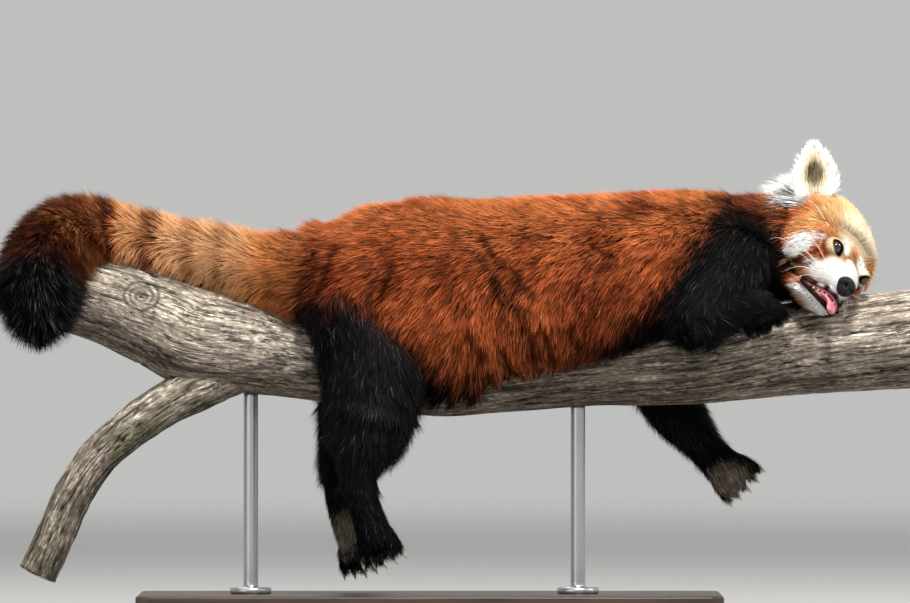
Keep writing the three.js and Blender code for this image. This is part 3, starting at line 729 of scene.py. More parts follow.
# Coats: length, width, lift at root and tip in degrees, tufts for each square millimetre,
# how much the tips gather and how far the clumps lie apart.
coats = {
    "torso": {"length": 20, "width": 1.3, "lift": (44, 18), "thick": 0.74, "gather": 0.5, "clump": 5.5},
    "neck": {"length": 20, "width": 1.3, "lift": (38, 14), "thick": 0.72, "gather": 0.5, "clump": 5.5},
    "tail": {"length": 21, "width": 1.25, "lift": (46, 24), "thick": 0.70, "gather": 0.5, "clump": 5.5},
    "thigh": {"length": 22, "width": 1.0, "lift": (40, 14), "thick": 0.60, "gather": 0.4, "clump": 7},
    "shin": {"length": 19, "width": 1.0, "lift": (36, 12), "thick": 0.60, "gather": 0.4, "clump": 7},
    "hindfoot": {"length": 9, "width": 0.8, "lift": (26, 9), "thick": 0.80, "gather": 0.3, "clump": 5},
    "arm": {"length": 20, "width": 1.0, "lift": (40, 14), "thick": 0.60, "gather": 0.4, "clump": 7},
    "forearm": {"length": 16, "width": 0.95, "lift": (34, 12), "thick": 0.60, "gather": 0.4, "clump": 7},
    "forepaw": {"length": 9, "width": 0.8, "lift": (26, 9), "thick": 0.80, "gather": 0.3, "clump": 5},
    "skull": {"length": 16, "width": 0.75, "lift": (23, 7), "thick": 1.1, "gather": 0.25, "clump": 5},
    "muzzle": {"length": 6, "width": 0.6, "lift": (20, 9), "thick": 1.9, "gather": 0.1, "clump": 3},
    "jaw": {"length": 8, "width": 0.65, "lift": (24, 10), "thick": 1.5, "gather": 0.2, "clump": 4},
    "ear": {"length": 9, "width": 0.55, "lift": (20, 11), "thick": 1.7, "gather": 0.15, "clump": 4},
}
# the long white hair behind each ear: forward, outward, up
earRuff = {"place": (-54, 49, 26), "reach": 14, "length": 32, "heading": (-0.42, 0.72, -0.56)}
partCoat = [coats[name.split("_")[0]] for name in partNames]


def perPart(key, part, index=None):
    values = np.array([c[key] if index is None else c[key][index] for c in partCoat], float)
    return values[part]


# where no hair grows: round the nose, between the lips (forward, up), on the lids and at the branch
bald = {
    "nosePlace": (27, 0, -23), "noseReach": (8, 11, 9.5), "edge": 1.05, "branch": 2.2,
    "lipTop": [(-12, -39.5), (6, -39.5), (13, -36)], "lipLow": [(-12, -48), (4, -50), (12, -52)],
}


def rootsOn(mesh, survey):
    mesh.calc_loop_triangles()
    flat = np.empty(len(mesh.loop_triangles) * 3, int)
    mesh.loop_triangles.foreach_get("vertices", flat)
    tris = flat.reshape(-1, 3)
    p = survey["place"]
    a, b, c = p[tris[:, 0]], p[tris[:, 1]], p[tris[:, 2]]
    area = np.linalg.norm(np.cross(b - a, c - a), axis=1) / 2
    part = survey["part"][tris[:, 0]]
    middle = (a + b + c) / 3
    thick = perPart("thick", part)
    h = toHead(middle)
    skull = part == partIndex["skull"]
    thick = np.where(skull & (h[:, 0] < -40), thick * 0.65, thick)
    cheek = skull & (np.abs(h[:, 1]) > 34) & (h[:, 2] < 12) & (h[:, 0] > -34)
    thick = np.where(cheek, thick * 2, thick)
    clear, _ = branchClearance(middle)
    noseGap = np.linalg.norm((h - np.array(bald["nosePlace"])) / np.array(bald["noseReach"]), axis=1)
    lipTop = np.interp(h[:, 0], *zip(*bald["lipTop"]))
    lipLow = np.interp(h[:, 0], *zip(*bald["lipLow"]))
    mouth = (h[:, 0] > -13) & (h[:, 2] < lipTop) & (h[:, 2] > lipLow) & (part >= partIndex["skull"])
    bare = mouth | (clear < bald["branch"]) | (eyeDistance(h) < bald["edge"]) | (noseGap < bald["edge"])
    thick = np.where(bare, 0, thick)
    ends = np.cumsum(area * thick)
    count = int(ends[-1])
    at = np.arange(count) + draws.random(count)
    tri = np.minimum(np.searchsorted(ends, at), len(tris) - 1)
    u, v = draws.random(count), draws.random(count)
    flip = u + v > 1
    u, v = np.where(flip, 1 - u, u)[:, None], np.where(flip, 1 - v, v)[:, None]
    t = tris[tri]

    def blend(values):
        return values[t[:, 0]] * (1 - u - v) + values[t[:, 1]] * u + values[t[:, 2]] * v

    roots = {"place": blend(p), "normal": unit(blend(survey["normal"])), "lie": unit(blend(survey["lie"]))}
    for key in ("part", "share", "turn", "front", "across"):
        roots[key] = survey[key][t[:, 0]]
    roots["y"] = roots["place"][:, 1]
    roots["lie"] = unit(roots["lie"] - roots["normal"] * (roots["lie"] * roots["normal"]).sum(1)[:, None])
    return roots


tuftLook = {
    "rootDepth": 1.2, "swing": 9, "swingPatch": 7,  # how deep a tuft starts, and its turns in degrees
    "nose": (24, 0, -22), "shortest": 3.2, "longer": 13.2,  # the face's hair grows longer away from the nose
    "fringeHeights": (262, 222), "fringeEnds": (35, 80), "lockWidth": 15, "lockDepth": 16,  # the belly
    "pullReach": 12, "stray": 4, "lit": (0.1, -0.4, 0.7),
    "paleTips": 0.10, "legFrostAndSheen": 0.05, "tailFrostAndSheen": 0.16,  # shares of the tufts
}


def shapeTufts(roots):
    # the three points of each tuft's curve, its width and its colours
    look = tuftLook
    n = len(roots["place"])
    part = roots["part"]
    p, normal, lie = roots["place"], roots["normal"], roots["lie"]
    h = toHead(p)
    across = np.cross(normal, lie)
    spread = look["swing"] + look["swingPatch"] * (cloud(p / 13, 9) - 0.5)
    swing = np.radians(spread) * draws.normal(size=n) + 0.5 * (cloud(p / 34, 12) - 0.5)
    swing = np.where(part >= partIndex["skull"], 0.55 * swing, swing)
    lie = unit(lie * np.cos(swing)[:, None] + across * np.sin(swing)[:, None])
    length = perPart("length", part) * (0.72 + 0.5 * draws.random(n))
    onHead = (part >= partIndex["skull"]) & (part < partIndex["ear_right"])
    nose = np.linalg.norm(h - np.array(look["nose"]), axis=1)
    faceLength = look["shortest"] + look["longer"] * step(20, 84, nose)
    faceLength = faceLength * np.where(eyeDistance(h) < 2.0, 0.5, 1)
    length = np.where(onHead, faceLength * (0.75 + 0.5 * draws.random(n)), length)
    cheek = onHead * step(34, 50, np.abs(h[:, 1])) * step(10, -10, h[:, 2])
    length = length * (1 + 0.35 * cheek)
    fringe = step(*look["fringeHeights"], p[:, 2]) * (part == partIndex["torso"])
    late = step(*look["fringeEnds"], p[:, 0])
    length = length * (1 - 0.45 * fringe * late)
    mirror = np.stack([np.ones(n), np.sign(h[:, 1]), np.ones(n)], 1)
    ruff = np.linalg.norm(h * mirror - np.array(earRuff["place"]), axis=1)
    ruff = step(earRuff["reach"] * 1.2, earRuff["reach"] * 0.6, ruff)
    ruff = ruff * ((part < partIndex["ear_right"]) | (roots["front"] < 0))
    heading = np.array(earRuff["heading"]) * mirror @ headAxes
    heading = unit(heading - normal * (heading * normal).sum(1)[:, None] * 0.7)
    lie = unit(lie + (heading - lie) * ruff[:, None])
    length = length * (1 - ruff) + earRuff["length"] * (0.7 + 0.6 * draws.random(n)) * ruff
    root, tip = perPart("lift", part, 0), perPart("lift", part, 1)
    under = step(0.1, -0.5, normal[:, 2]) * (part == partIndex["tail"])
    rough = np.where(part >= partIndex["skull"], 0.7, 1.3)
    lift0 = np.radians(root + 7 * rough * draws.normal(size=n) + 22 * under)
    lift1 = np.radians(tip + 6 * rough * draws.normal(size=n) + 40 * under)
    start = p - normal * look["rootDepth"]
    middle = start + 0.5 * length[:, None] * (lie * np.cos(lift0)[:, None] + normal * np.sin(lift0)[:, None])
    droop = droops[part]
    ahead = lie * np.cos(lift1)[:, None] + normal * np.sin(lift1)[:, None]
    ahead = unit(ahead + np.array([0, 0, -0.5]) * droop[:, None])
    end = middle + 0.55 * length[:, None] * ahead
    early = (fringe * (1 - late))[:, None]
    end = middle + (end - middle) * (1 + 0.9 * early) + np.array([0, 0, -5.0]) * early
    gather = perPart("gather", part)
    seeds = draws.random(n) < 1 / (perPart("clump", part) ** 2 * perPart("thick", part))
    chosen = np.nonzero(seeds)[0]
    tree = kdtree.KDTree(len(chosen))
    for i, k in enumerate(chosen):
        tree.insert(p[k], i)
    tree.balance()
    own = chosen[np.array([tree.find(q)[1] for q in p])]
    pull = (p[own] - p) * (gather * (0.7 + 0.6 * draws.random(n)))[:, None]
    pull *= (np.linalg.norm(pull, axis=1) < look["pullReach"])[:, None]
    end, middle = end + pull, middle + pull * 0.35
    # the belly's fringe hangs in pointed locks
    column = p[:, 0] / look["lockWidth"] + 1.3 * cloud(p / 22, 14)
    off = column - np.round(column)
    end[:, 0] -= look["lockWidth"] * off * 0.75 * fringe
    middle[:, 0] -= look["lockWidth"] * off * 0.35 * fringe
    end[:, 2] += look["lockDepth"] * np.abs(off) * fringe
    roots["share"] = roots["share"] + 0.02 * (part == partIndex["tail"])
    # a tuft takes its colour a little way off, so the edges of the markings are ragged
    stray = look["stray"] * draws.normal(size=(n, 3))
    colour = coatColour(roots, p + stray * np.where(part >= partIndex["skull"], 0.25, 1)[:, None])
    dim = step(0.35, 0.05, colour.mean(1))
    clumpTone = 1 + (0.12 + 0.45 * dim) * (2 * draws.random(n)[own] - 1)
    short = np.isin(part, [partIndex["muzzle"], partIndex["jaw"]])
    tone = clumpTone * (1 + (0.16 + 0.62 * dim + 0.16 * short) * (2 * draws.random(n) ** 1.4 - 0.92))
    # painted shade: the gaps between the locks of the belly's fringe are darker
    tone = tone * (1 - 0.55 * step(0.25, 0.5, np.abs(off)) * fringe)
    tone = tone * (1 - 0.8 * creaseShade(end) * (part < partIndex["thigh_right"]))
    colour = mix(colour, tint["paleTip"], 0.7 * (draws.random(n) < look["paleTips"]) * fringe * late)
    # a few pale grey hairs on the legs and at the tail's end: pale hair tips that also stand in for painted
    # highlights on the black fur
    frostAndSheen = (draws.random(n) < look["legFrostAndSheen"]) * (part >= partIndex["thigh_right"])
    frostAndSheen = frostAndSheen * (part < partIndex["skull"])
    tailEnd = (draws.random(n) < look["tailFrostAndSheen"]) * (part == partIndex["tail"])
    tailEnd = tailEnd * step(0.78, 0.86, roots["share"])
    colour = mix(colour, tint["frostAndSheen"], 0.7 * np.maximum(frostAndSheen, tailEnd))
    colour = mix(colour, tint["white"], ruff) * tone[:, None]
    grey = colour.mean(1, keepdims=True)
    colour = colour + (grey - colour) * (0.12 * draws.random(n))[:, None]
    # hair that stands clear of the head is lit from above as well as from its own side
    loose = np.clip(ruff + (part >= partIndex["ear_right"]), 0, 1)
    roots["normal"] = unit(normal * (1 - 0.75 * loose)[:, None] + np.array(look["lit"]) * loose[:, None])
    # loose hair and the face get less painted shade at their roots
    roots["pale"] = np.maximum(0.9 * loose, 0.8 * onHead * step(-62, -36, h[:, 0]))
    roots.update({"start": start, "middle": middle, "end": end, "colour": colour, "lieNow": lie})
    roots["width"] = perPart("width", part) * (0.8 + 0.4 * draws.random(n))
    return roots


def unwrap(roots, parts):
    # each part of the skin is unrolled into its own cell of the square
    columns = math.ceil(math.sqrt(len(parts)))
    rows = math.ceil(len(parts) / columns)
    cell = np.zeros(len(partNames), int)
    for i, k in enumerate(parts):
        cell[k] = i
    c = cell[roots["part"]]
    u = (c % columns + 0.03 + 0.94 * roots["turn"]) / columns
    v = (c // columns + 0.03 + 0.94 * roots["share"]) / rows
    return np.stack([u, v], 1) + (draws.random((len(u), 2)) - 0.5) * 0.012


# painted shade at the root of dark and pale tufts and painted light at every tip, and how much of the skin's
# normal they keep
furLook = {"roughness": 0.55, "rootShade": (0.06, 0.52), "tipShade": 1.55, "normalMix": 0.55, "clear": 0.6}
# a blade's three edges, across and above its middle line in widths
bladeEdges = ((-0.5, -0.1), (0.5, -0.1), (0, 0.3))


def growTufts(name, roots, pick, material, bent):
    # a tuft is a three-sided blade, straight or with a bend half way
    n = int(pick.sum())
    start, middle, end = (roots[k][pick] for k in ("start", "middle", "end"))
    normal, lie, width, colour = (roots[k][pick] for k in ("normal", "lieNow", "width", "colour"))
    across = unit(np.cross(normal, lie))
    parts = sorted(set(roots["part"][pick].tolist()))
    uv0 = unwrap({k: roots[k][pick] for k in ("part", "turn", "share")}, parts)
    shares = (0.0, 0.45) if bent else (0.0,)
    size = 3 * len(shares) + 1
    verts, normals, colours = (np.empty((n, size, 3)) for _ in range(3))
    uvs = np.empty((n, size, 2))
    bright = np.clip(colour.mean(1, keepdims=True) / 0.6, 0, 1)
    rootShade = furLook["rootShade"][0] + (furLook["rootShade"][1] - furLook["rootShade"][0]) * bright
    rootShade = np.maximum(rootShade, roots["pale"][pick][:, None])
    for ring, t in enumerate(shares):
        c = start * (1 - t) ** 2 + middle * 2 * t * (1 - t) + end * t**2
        ahead = unit((middle - start) * (1 - t) + (end - middle) * t) if bent else unit(end - start)
        up = unit(np.cross(ahead, across))
        up = up * np.sign((up * normal).sum(1))[:, None]
        w = (width * (0.85, 1.0)[ring])[:, None]
        for k, (sx, sy) in enumerate(bladeEdges):
            verts[:, ring * 3 + k] = c + across * sx * w + up * sy * w
            normals[:, ring * 3 + k] = unit(across * sx * 1.2 + up * 0.6)
            uvs[:, ring * 3 + k] = uv0 + np.array([sx * 0.003, (t - 0.5) * 0.003])
        # painted shade: a tuft is darker at its root, where the coat shades it
        colours[:, ring * 3:ring * 3 + 3] = (colour * (rootShade + (0.8 - rootShade) * t * 2))[:, None]
    last = unit(end - middle) if bent else unit(end - start)
    top = np.cross(last, across)
    verts[:, -1] = end
    normals[:, -1] = unit(top) * np.sign((top * normal).sum(1))[:, None]
    # painted light: the tip is brighter
    colours[:, -1] = colour * furLook["tipShade"]
    uvs[:, -1] = uv0 + np.array([0, 0.0015])
    flatVerts = verts.reshape(-1, 3)
    clear, outward = branchClearance(flatVerts)
    flatVerts += outward * np.maximum(furLook["clear"] - clear, 0)[:, None]
    k = furLook["normalMix"]
    normals = unit(normals * (1 - k) + normal[:, None] * k)
    base = (np.arange(n) * size)[:, None, None]
    quads = np.array([[0, 1, 4, 3], [1, 2, 5, 4], [2, 0, 3, 5]]) if bent else np.zeros((0, 4), int)
    s = size - 4
    tris = np.array([[s, s + 1, s + 3], [s + 1, s + 2, s + 3], [s + 2, s, s + 3], [0, 2, 1]])
    loops = np.concatenate([(corners[None] + base).reshape(-1) for corners in (quads, tris)]).astype(np.int32)
    quadCount = n * len(quads)
    starts = np.concatenate([np.arange(quadCount) * 4, quadCount * 4 + np.arange(n * 4) * 3])
    mesh = bpy.data.meshes.new(name)
    mesh.vertices.add(n * size)
    mesh.vertices.foreach_set("co", (flatVerts * mm).astype(np.float32).ravel())
    mesh.loops.add(len(loops))
    mesh.loops.foreach_set("vertex_index", loops)
    mesh.polygons.add(len(starts))
    mesh.polygons.foreach_set("loop_start", starts.astype(np.int32))
    mesh.polygons.foreach_set("use_smooth", np.ones(len(starts), bool))
    mesh.update(calc_edges=True)
    paint(mesh, "coat", colours.reshape(-1, 3))
    layer = mesh.uv_layers.new(name="OFBake")
    layer.data.foreach_set("uv", np.clip(uvs.reshape(-1, 2)[loops], 0, 1).astype(np.float32).ravel())
    mesh.normals_split_custom_set_from_vertices(normals.reshape(-1, 3).astype(np.float32))
    mesh.materials.append(material)
    thing = bpy.data.objects.new(name, mesh)
    bpy.context.collection.objects.link(thing)
    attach(thing, "root")
    print(name, n, "tufts", n * (10 if bent else 4), "triangles")
    return thing



def newMaterial(name):
    material = bpy.data.materials.new(name)
    material.use_nodes = True
    nodes, links = material.node_tree.nodes, material.node_tree.links
    return material, nodes, links, nodes["Principled BSDF"]


def addNode(nodes, kind, values=None, **settings):
    node = nodes.new("ShaderNode" + kind)
    for key, setting in settings.items():
        setattr(node, key, setting)
    for socket, value in (values or {}).items():
        node.inputs[socket].default_value = value
    return node


def ranged(nodes, links, source, limits):
    # a value taken from one range to another
    names = ("From Min", "From Max", "To Min", "To Max")
    node = addNode(nodes, "MapRange", dict(zip(names, limits)))
    links.new(source, node.inputs["Value"])
    return node.outputs["Result"]


def stretched(nodes, links, source, stretch, values):
    # noise drawn out along one direction
    mapping = addNode(nodes, "Mapping", {"Scale": stretch})
    noise = addNode(nodes, "TexNoise", values)
    links.new(source, mapping.inputs["Vector"])
    links.new(mapping.outputs["Vector"], noise.inputs["Vector"])
    return noise.outputs["Fac"]


def shadePaint(nodes, links, shader, shade):
    # the painted colour, made lighter and darker by a shade
    colour = addNode(nodes, "Attribute", attribute_name="coat")
    blend = addNode(nodes, "VectorMath", operation="SCALE")
    links.new(colour.outputs["Color"], blend.inputs[0])
    links.new(shade, blend.inputs["Scale"])
    links.new(blend.outputs["Vector"], shader.inputs["Base Color"])


def addBump(nodes, links, shader, height, strength, reach):
    raised = addNode(nodes, "Bump", {"Strength": strength, "Distance": reach})
    links.new(height, raised.inputs["Height"])
    links.new(raised.outputs["Normal"], shader.inputs["Normal"])


def mottledMaterial(name, scale, detail, spread, roughness, shine, bump, bumpReach):
    # a painted colour under fine noise, which may also raise the surface
    material, nodes, links, shader = newMaterial(name)
    noise = addNode(nodes, "TexNoise", {"Scale": scale, "Detail": detail}).outputs["Fac"]
    shadePaint(nodes, links, shader, ranged(nodes, links, noise, (0, 1, 1 - spread, 1 + spread)))
    shader.inputs["Roughness"].default_value = roughness
    shader.inputs["Specular IOR Level"].default_value = shine
    if bump:
        addBump(nodes, links, shader, noise, bump, bumpReach)
    return material, shader


def furMaterial(name, roughness, bump, shine):
    return mottledMaterial(name, 420, 3, 0.2, roughness, shine, bump, 0.0012)[0]


skin.data.materials.clear()
skin.data.materials.append(furMaterial("under coat", 0.8, 0.8, 0.02))
coatMaterial = furMaterial("fur", furLook["roughness"], 0, 0.01)
blackMaterial = furMaterial("black fur", furLook["roughness"], 0, 0.07)
roots = shapeTufts(rootsOn(skin.data, survey))
print("tufts", len(roots["place"]))
part = roots["part"]
front = roots["place"][:, 0]


def inParts(*names):
    return np.isin(part, [partIndex[k] for k in partNames if k.split("_")[0] in names])


right = roots["place"][:, 1] < 0
groups = {
    "coat_tail": (inParts("tail"), "fur_orange"),
    "coat_neck": (inParts("neck"), "fur_rust"),
    "coat_hind_right": (inParts("thigh", "shin", "hindfoot") & right, "fur_black"),
    "coat_hind_left": (inParts("thigh", "shin", "hindfoot") & ~right, "fur_black"),
    "coat_fore_right": (inParts("arm", "forearm", "forepaw") & right, "fur_black"),
    "coat_fore_left": (inParts("arm", "forearm", "forepaw") & ~right, "fur_black"),
    "coat_head": (inParts("skull"), "fur_orange"),
    "coat_muzzle": (inParts("muzzle", "jaw"), "fur_white"),
    "coat_ears": (inParts("ear"), "fur_white"),
}
torsoSplit = np.quantile(front[inParts("torso")], (0.333, 0.667))
for sideName, onSide in (("right", right), ("left", ~right)):
    for i, place in enumerate(("rump", "flank", "shoulder")):
        low, high = (-9e9, *torsoSplit, 9e9)[i:i + 2]
        pick = inParts("torso") & onSide & (front > low) & (front <= high)
        groups[f"coat_{place}_{sideName}"] = (pick, "fur_rust")
for name, (pick, slotName) in groups.items():
    if pick.any():
        material = blackMaterial if slotName == "fur_black" else coatMaterial
        growTufts(name, roots, pick, material, name in ("coat_head", "coat_ears"))

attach(skin, "root")
ownPieces = ("stand", "perch", "eye", "nose", "tongue")
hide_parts(*[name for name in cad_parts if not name.startswith(ownPieces)])


def dressed(thing, slotName, *replaced):
    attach(thing, "root")
    if replaced:
        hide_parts(*replaced)
    return thing


def glossyMaterial(name, roughness, coat, bumpScale=300, bump=0.0, shine=0.5):
    material, shader = mottledMaterial(name, bumpScale, 4, 0.15, roughness, shine, bump, 0.0006)
    shader.inputs["Coat Weight"].default_value = coat
    shader.inputs["Coat Roughness"].default_value = 0.05
    return material


def ball(columns=64, rows=40):
    # directions of a round grid whose pole points along +x, with its faces
    verts, faces = ellipsoid((0, 0, 0), (1, 1, 1), False, columns, rows)
    return unit(verts), faces


eyeLook = {
    "gaze": (0.90, 0.42, -0.02), "cornea": 0.7, "pupil": 0.30, "iris": 0.86,
    "colours": {"pupil": (0.002, 0.002, 0.002), "iris": (0.040, 0.013, 0.006), "edge": (0.006, 0.004, 0.003)},
}


def makeEye(name, side):
    d, faces = ball()
    gaze = unit(np.array([eyeLook["gaze"][0], side * eyeLook["gaze"][1], eyeLook["gaze"][2]]))
    turnY = unit(np.cross((0, 0, 1), gaze))
    axes = np.array([gaze, turnY, np.cross(gaze, turnY)])
    angle = np.arccos(np.clip(d[:, 0], -1, 1))
    radius = head["eyeRadius"] - 0.3 + eyeLook["cornea"] * step(0.75, 0.2, angle)
    centre = np.array([head["eyeForward"], side * head["eyeSpread"], 0])
    thing = makeObject(name, toRoom(centre + (d * radius[:, None]) @ axes), faces)
    streak = cloud(np.stack([np.arctan2(d[:, 2], d[:, 1]) * 9, angle * 3, angle * 0], 1), 4)
    c = {k: np.array(v) for k, v in eyeLook["colours"].items()}
    iris = c["iris"] * (0.6 + 0.9 * streak)[:, None]
    outside = step(eyeLook["pupil"] - 0.04, eyeLook["pupil"] + 0.04, angle)
    colour = mix(tiled(c["pupil"], len(d)), iris, outside)
    colour = mix(colour, c["edge"], step(eyeLook["iris"] - 0.16, eyeLook["iris"], angle))
    paint(thing.data, "coat", colour)
    thing.data.materials.append(eyeMaterial)
    return dressed(thing, "eye", name.replace("eyeball", "eye"))


eyeMaterial = glossyMaterial("eye gloss", 0.10, 1.0)
makeEye("eyeball_right", -1)
makeEye("eyeball_left", 1)

noseLook = {
    "place": (20, 0, -24.5), "radii": (8.2, 11.6, 10), "nostril": (0.80, 0.50, -0.05),
    "slit": (0.45, 0.86, -0.28), "pit": 4.6, "pitReach": 0.32, "groove": 1.1,
    "colour": (0.009, 0.008, 0.010), "inside": (0.003, 0.003, 0.003),
}


def makeNose():
    d, faces = ball(96, 64)
    n = noseLook
    pit = np.zeros(len(d))
    for side in (-1, 1):
        away = d - unit(np.array(n["nostril"]) * (1, side, 1))
        spread = (away[:, 1] / (n["pitReach"] * 1.1)) ** 2 + (away[:, 2] / (n["pitReach"] * 0.75)) ** 2
        pit = np.maximum(pit, np.exp(-spread * 1.6) * (d[:, 0] > 0))
        # each nostril runs out into a slit at the side
        away = d - unit(np.array(n["slit"]) * (1, side, 1))
        across = (away[:, 2] - 0.1 * away[:, 0]) / 0.07
        spread = (away[:, 1] / 0.22) ** 2 + (away[:, 0] / 0.3) ** 2 + across**2
        pit = np.maximum(pit, 0.6 * np.exp(-spread))
    groove = np.exp(-((d[:, 1] / 0.07) ** 2)) * step(0.1, 0.6, d[:, 0]) * step(0.35, -0.1, d[:, 2])
    top = 0.06 * step(0.2, 0.9, d[:, 2])
    p = d * np.array(n["radii"]) * (1 - top)[:, None]
    p[:, 0] -= 0.9 * step(0.72, 1.0, d[:, 0])
    p -= d * (n["pit"] * pit + n["groove"] * groove)[:, None]
    p[:, 1] *= 1 - 0.16 * step(0.1, -0.9, d[:, 2])
    thing = makeObject("nose_pad", toRoom(p + np.array(n["place"])), faces)
    # painted shade: the nostrils and the groove down the middle are darker
    colour = mix(tiled(n["colour"], len(d)), np.array(n["inside"]), np.clip(pit * 1.3 + 0.5 * groove, 0, 1))
    paint(thing.data, "coat", colour)
    thing.data.materials.append(glossyMaterial("nose leather", 0.42, 0.06, 1500, 0.8, 0.22))
    return dressed(thing, "nose_leather", "nose")


makeNose()

tongueForm = {
    "stations": [
        (-2, -5, -44, 9, 2.5), (9, -4, -45, 8.5, 2.5), (18, -3, -46, 8, 2.4), (25, -2, -50, 7, 2.2),
        (28, -2, -55, 5, 2),
    ],
    "inHead": True, "pink": (0.66, 0.19, 0.24), "grooveShade": (0.46, 0.09, 0.12),
}


def makeTongue():
    verts, faces = sweep(tongueForm, 0, 60, 40, 8)
    h = toHead(verts)
    shares = np.linspace(0, 1, 200)
    centre = toHead(frameAt(tongueForm, shares)[0])
    near = np.argmin(((h[:, None] - centre[None]) ** 2).sum(2), axis=1)
    off = h[:, 1] - centre[near, 1]
    top = step(-0.2, 0.8, (h - centre[near])[:, 2] + 0.3 * (h - centre[near])[:, 0])
    h[:, 2] -= 1.3 * np.exp(-((off / 1.6) ** 2)) * top * step(1.0, 0.8, shares[near])
    h[:, 2] += 0.25 * (cloud(h / 1.6, 3) - 0.5)
    thing = makeObject("tongue_flesh", toRoom(h), faces)
    # painted shade: the groove down the middle of the tongue is a darker red
    groove = np.exp(-((off / 1.8) ** 2)) * 0.7 * top
    colour = mix(tiled(tongueForm["pink"], len(h)), np.array(tongueForm["grooveShade"]), groove)
    paint(thing.data, "coat", colour)
    thing.data.materials.append(glossyMaterial("tongue", 0.38, 0.4, 1800, 0.7))
    return dressed(thing, "tongue_flesh", "tongue")


makeTongue()

mouthLook = {"gum": (0.50, 0.15, 0.16), "throat": (0.16, 0.035, 0.04), "tooth": (0.80, 0.76, 0.66)}
gums = {
    "lining": [(-26, 0, -47, 24, 5), (-8, 0, -47, 22, 4.5), (5, 0, -47, 15, 4), (9, 0, -47, 10, 3)],
    "upper": [
        (-10, -26, -43.5, 2.2, 2.2), (5, -18.5, -43, 2.4, 2.2), (11, -10, -40, 2.4, 2.2),
        (12, 0, -38.5, 2.4, 2.2),
    ],
    "lower": [
        (-10, -22.5, -45, 2.2, 2.2), (3, -16.5, -47, 2.2, 2.2), (10.5, -8.5, -48.4, 2.2, 2.2),
        (12, 0, -48.6, 2.2, 2.2),
    ],
}
# which way a row's teeth point, their shares of half the gum and their lengths; the last is the canine
toothRows = {
    "upper": {"rise": -1, "teeth": [(0.10, 2.4), (0.17, 2.6), (0.24, 2.4), (0.31, 2.2), (0.40, 5.2)]},
    "lower": {"rise": 1, "teeth": [(0.12, 2.2), (0.19, 2.4), (0.26, 2.2), (0.36, 4.6)]},
}


def makeMouth():
    lining = {"stations": gums["lining"], "inHead": True}
    shells = [sweep(lining, 0, 30, 32), lipTube(gums["upper"]), lipTube(gums["lower"])]
    verts, faces = joined(shells)
    h = toHead(verts)
    h += 0.35 * (cloud(h / 2.2, 8) - 0.5)[:, None]
    thing = makeObject("mouth_lining", toRoom(h), faces)
    inner = np.arange(len(verts)) < len(shells[0][0])
    # painted shade: the lining at the back of the mouth is much darker than the gums
    colour = mix(tiled(mouthLook["gum"], len(verts)), np.array(mouthLook["throat"]), inner * 0.8)
    paint(thing.data, "coat", colour)
    thing.data.materials.append(glossyMaterial("gums", 0.3, 0.4, 900, 0.5))
    return dressed(thing, "tongue_flesh")


def makeTeeth():
    shells = []
    for name, row in toothRows.items():
        for side in (-1, 1):
            for share, length in row["teeth"]:
                forward, out, up = chain([s[:3] for s in gums[name]], [share * 2])[0]
                root = np.array([forward, side * -out, up])
                tip = root + np.array([0.6, 0, row["rise"] * (length + 1.6)])
                wide = 1.0 if length < 4 else 1.35
                points = [root, root * 0.5 + tip * 0.5 + np.array([0.4, 0, 0]), tip]
                stations = [(*q, w, w) for q, w in zip(points, (wide, wide * 0.8, 0.25))]
                tooth = {"stations": stations, "up": (1, 0, 0), "inHead": True, "cap": 0.6}
                shells.append(sweep(tooth, 0, 10, 12, 3))
    teeth = makeObject("teeth", *joined(shells))
    paint(teeth.data, "coat", tiled(mouthLook["tooth"], len(teeth.data.vertices)))
    teeth.data.materials.append(glossyMaterial("tooth enamel", 0.25, 0.5, 500, 0.1))
    return dressed(teeth, "fur_white")


makeMouth()
makeTeeth()

# the claw's middle line: shares of its length ahead, with the way inwards, and its width there
clawLook = {
    "root": (0.30, 0.25, 0.20), "tip": (0.66, 0.60, 0.50), "curve": 0.42, "sunk": 1,
    "ahead": (0.35, 0.75, 0.95), "inwards": (0.6, 1.2), "narrow": (1, 0.85, 0.5), "point": 0.2,
}


def makeClaws():
    shells, shades = [], []
    for name, starts in claws.items():
        for end, heading, inward, above in starts:
            length, r = toe["clawLength"] + clawLook["sunk"], toe["clawRadius"]
            a, b, c = (end + heading * length * share for share in clawLook["ahead"])
            points = [
                end - heading * 3 - inward * 0.5, a + inward * clawLook["inwards"][0],
                b + inward * clawLook["inwards"][1], c + inward * length * clawLook["curve"],
            ]
            widths = [r * share for share in clawLook["narrow"]] + [clawLook["point"]]
            stations = [(*p, 0.75 * w, w) for p, w in zip(points, widths)]
            verts, faces = sweep({"stations": stations, "up": tuple(above), "cap": 0.5}, 0, 24, 16, 3)
            shells.append((verts, faces))
            shades.append(np.clip((verts - end) @ heading / length, 0, 1))
    verts, faces = joined(shells)
    thing = makeObject("claws", verts, faces)
    colour = mix(tiled(clawLook["root"], len(verts)), np.array(clawLook["tip"]), np.concatenate(shades))
    paint(thing.data, "coat", colour)
    thing.data.materials.append(glossyMaterial("claw horn", 0.35, 0.3, 700, 0.3))
    return dressed(thing, "fur_black")


makeClaws()

# whiskers on one side: root, then the tip, as forward, outward, up
whiskers = {
    "lines": [
        ((6, 23, -20), (-20, 52, -8)), ((2, 26, -24), (-28, 56, -24)), ((-2, 28, -27), (-34, 54, -34)),
        ((5, 24, -29), (-20, 50, -46)), ((-6, 30, -24), (-36, 60, -16)), ((8, 19, -32), (-6, 44, -56)),
        ((-14, 38, 12), (-44, 66, 20)), ((-22, 44, -24), (-42, 72, -30)),
    ],
    "radius": 0.2, "sag": 5, "colour": (0.85, 0.83, 0.78),
}


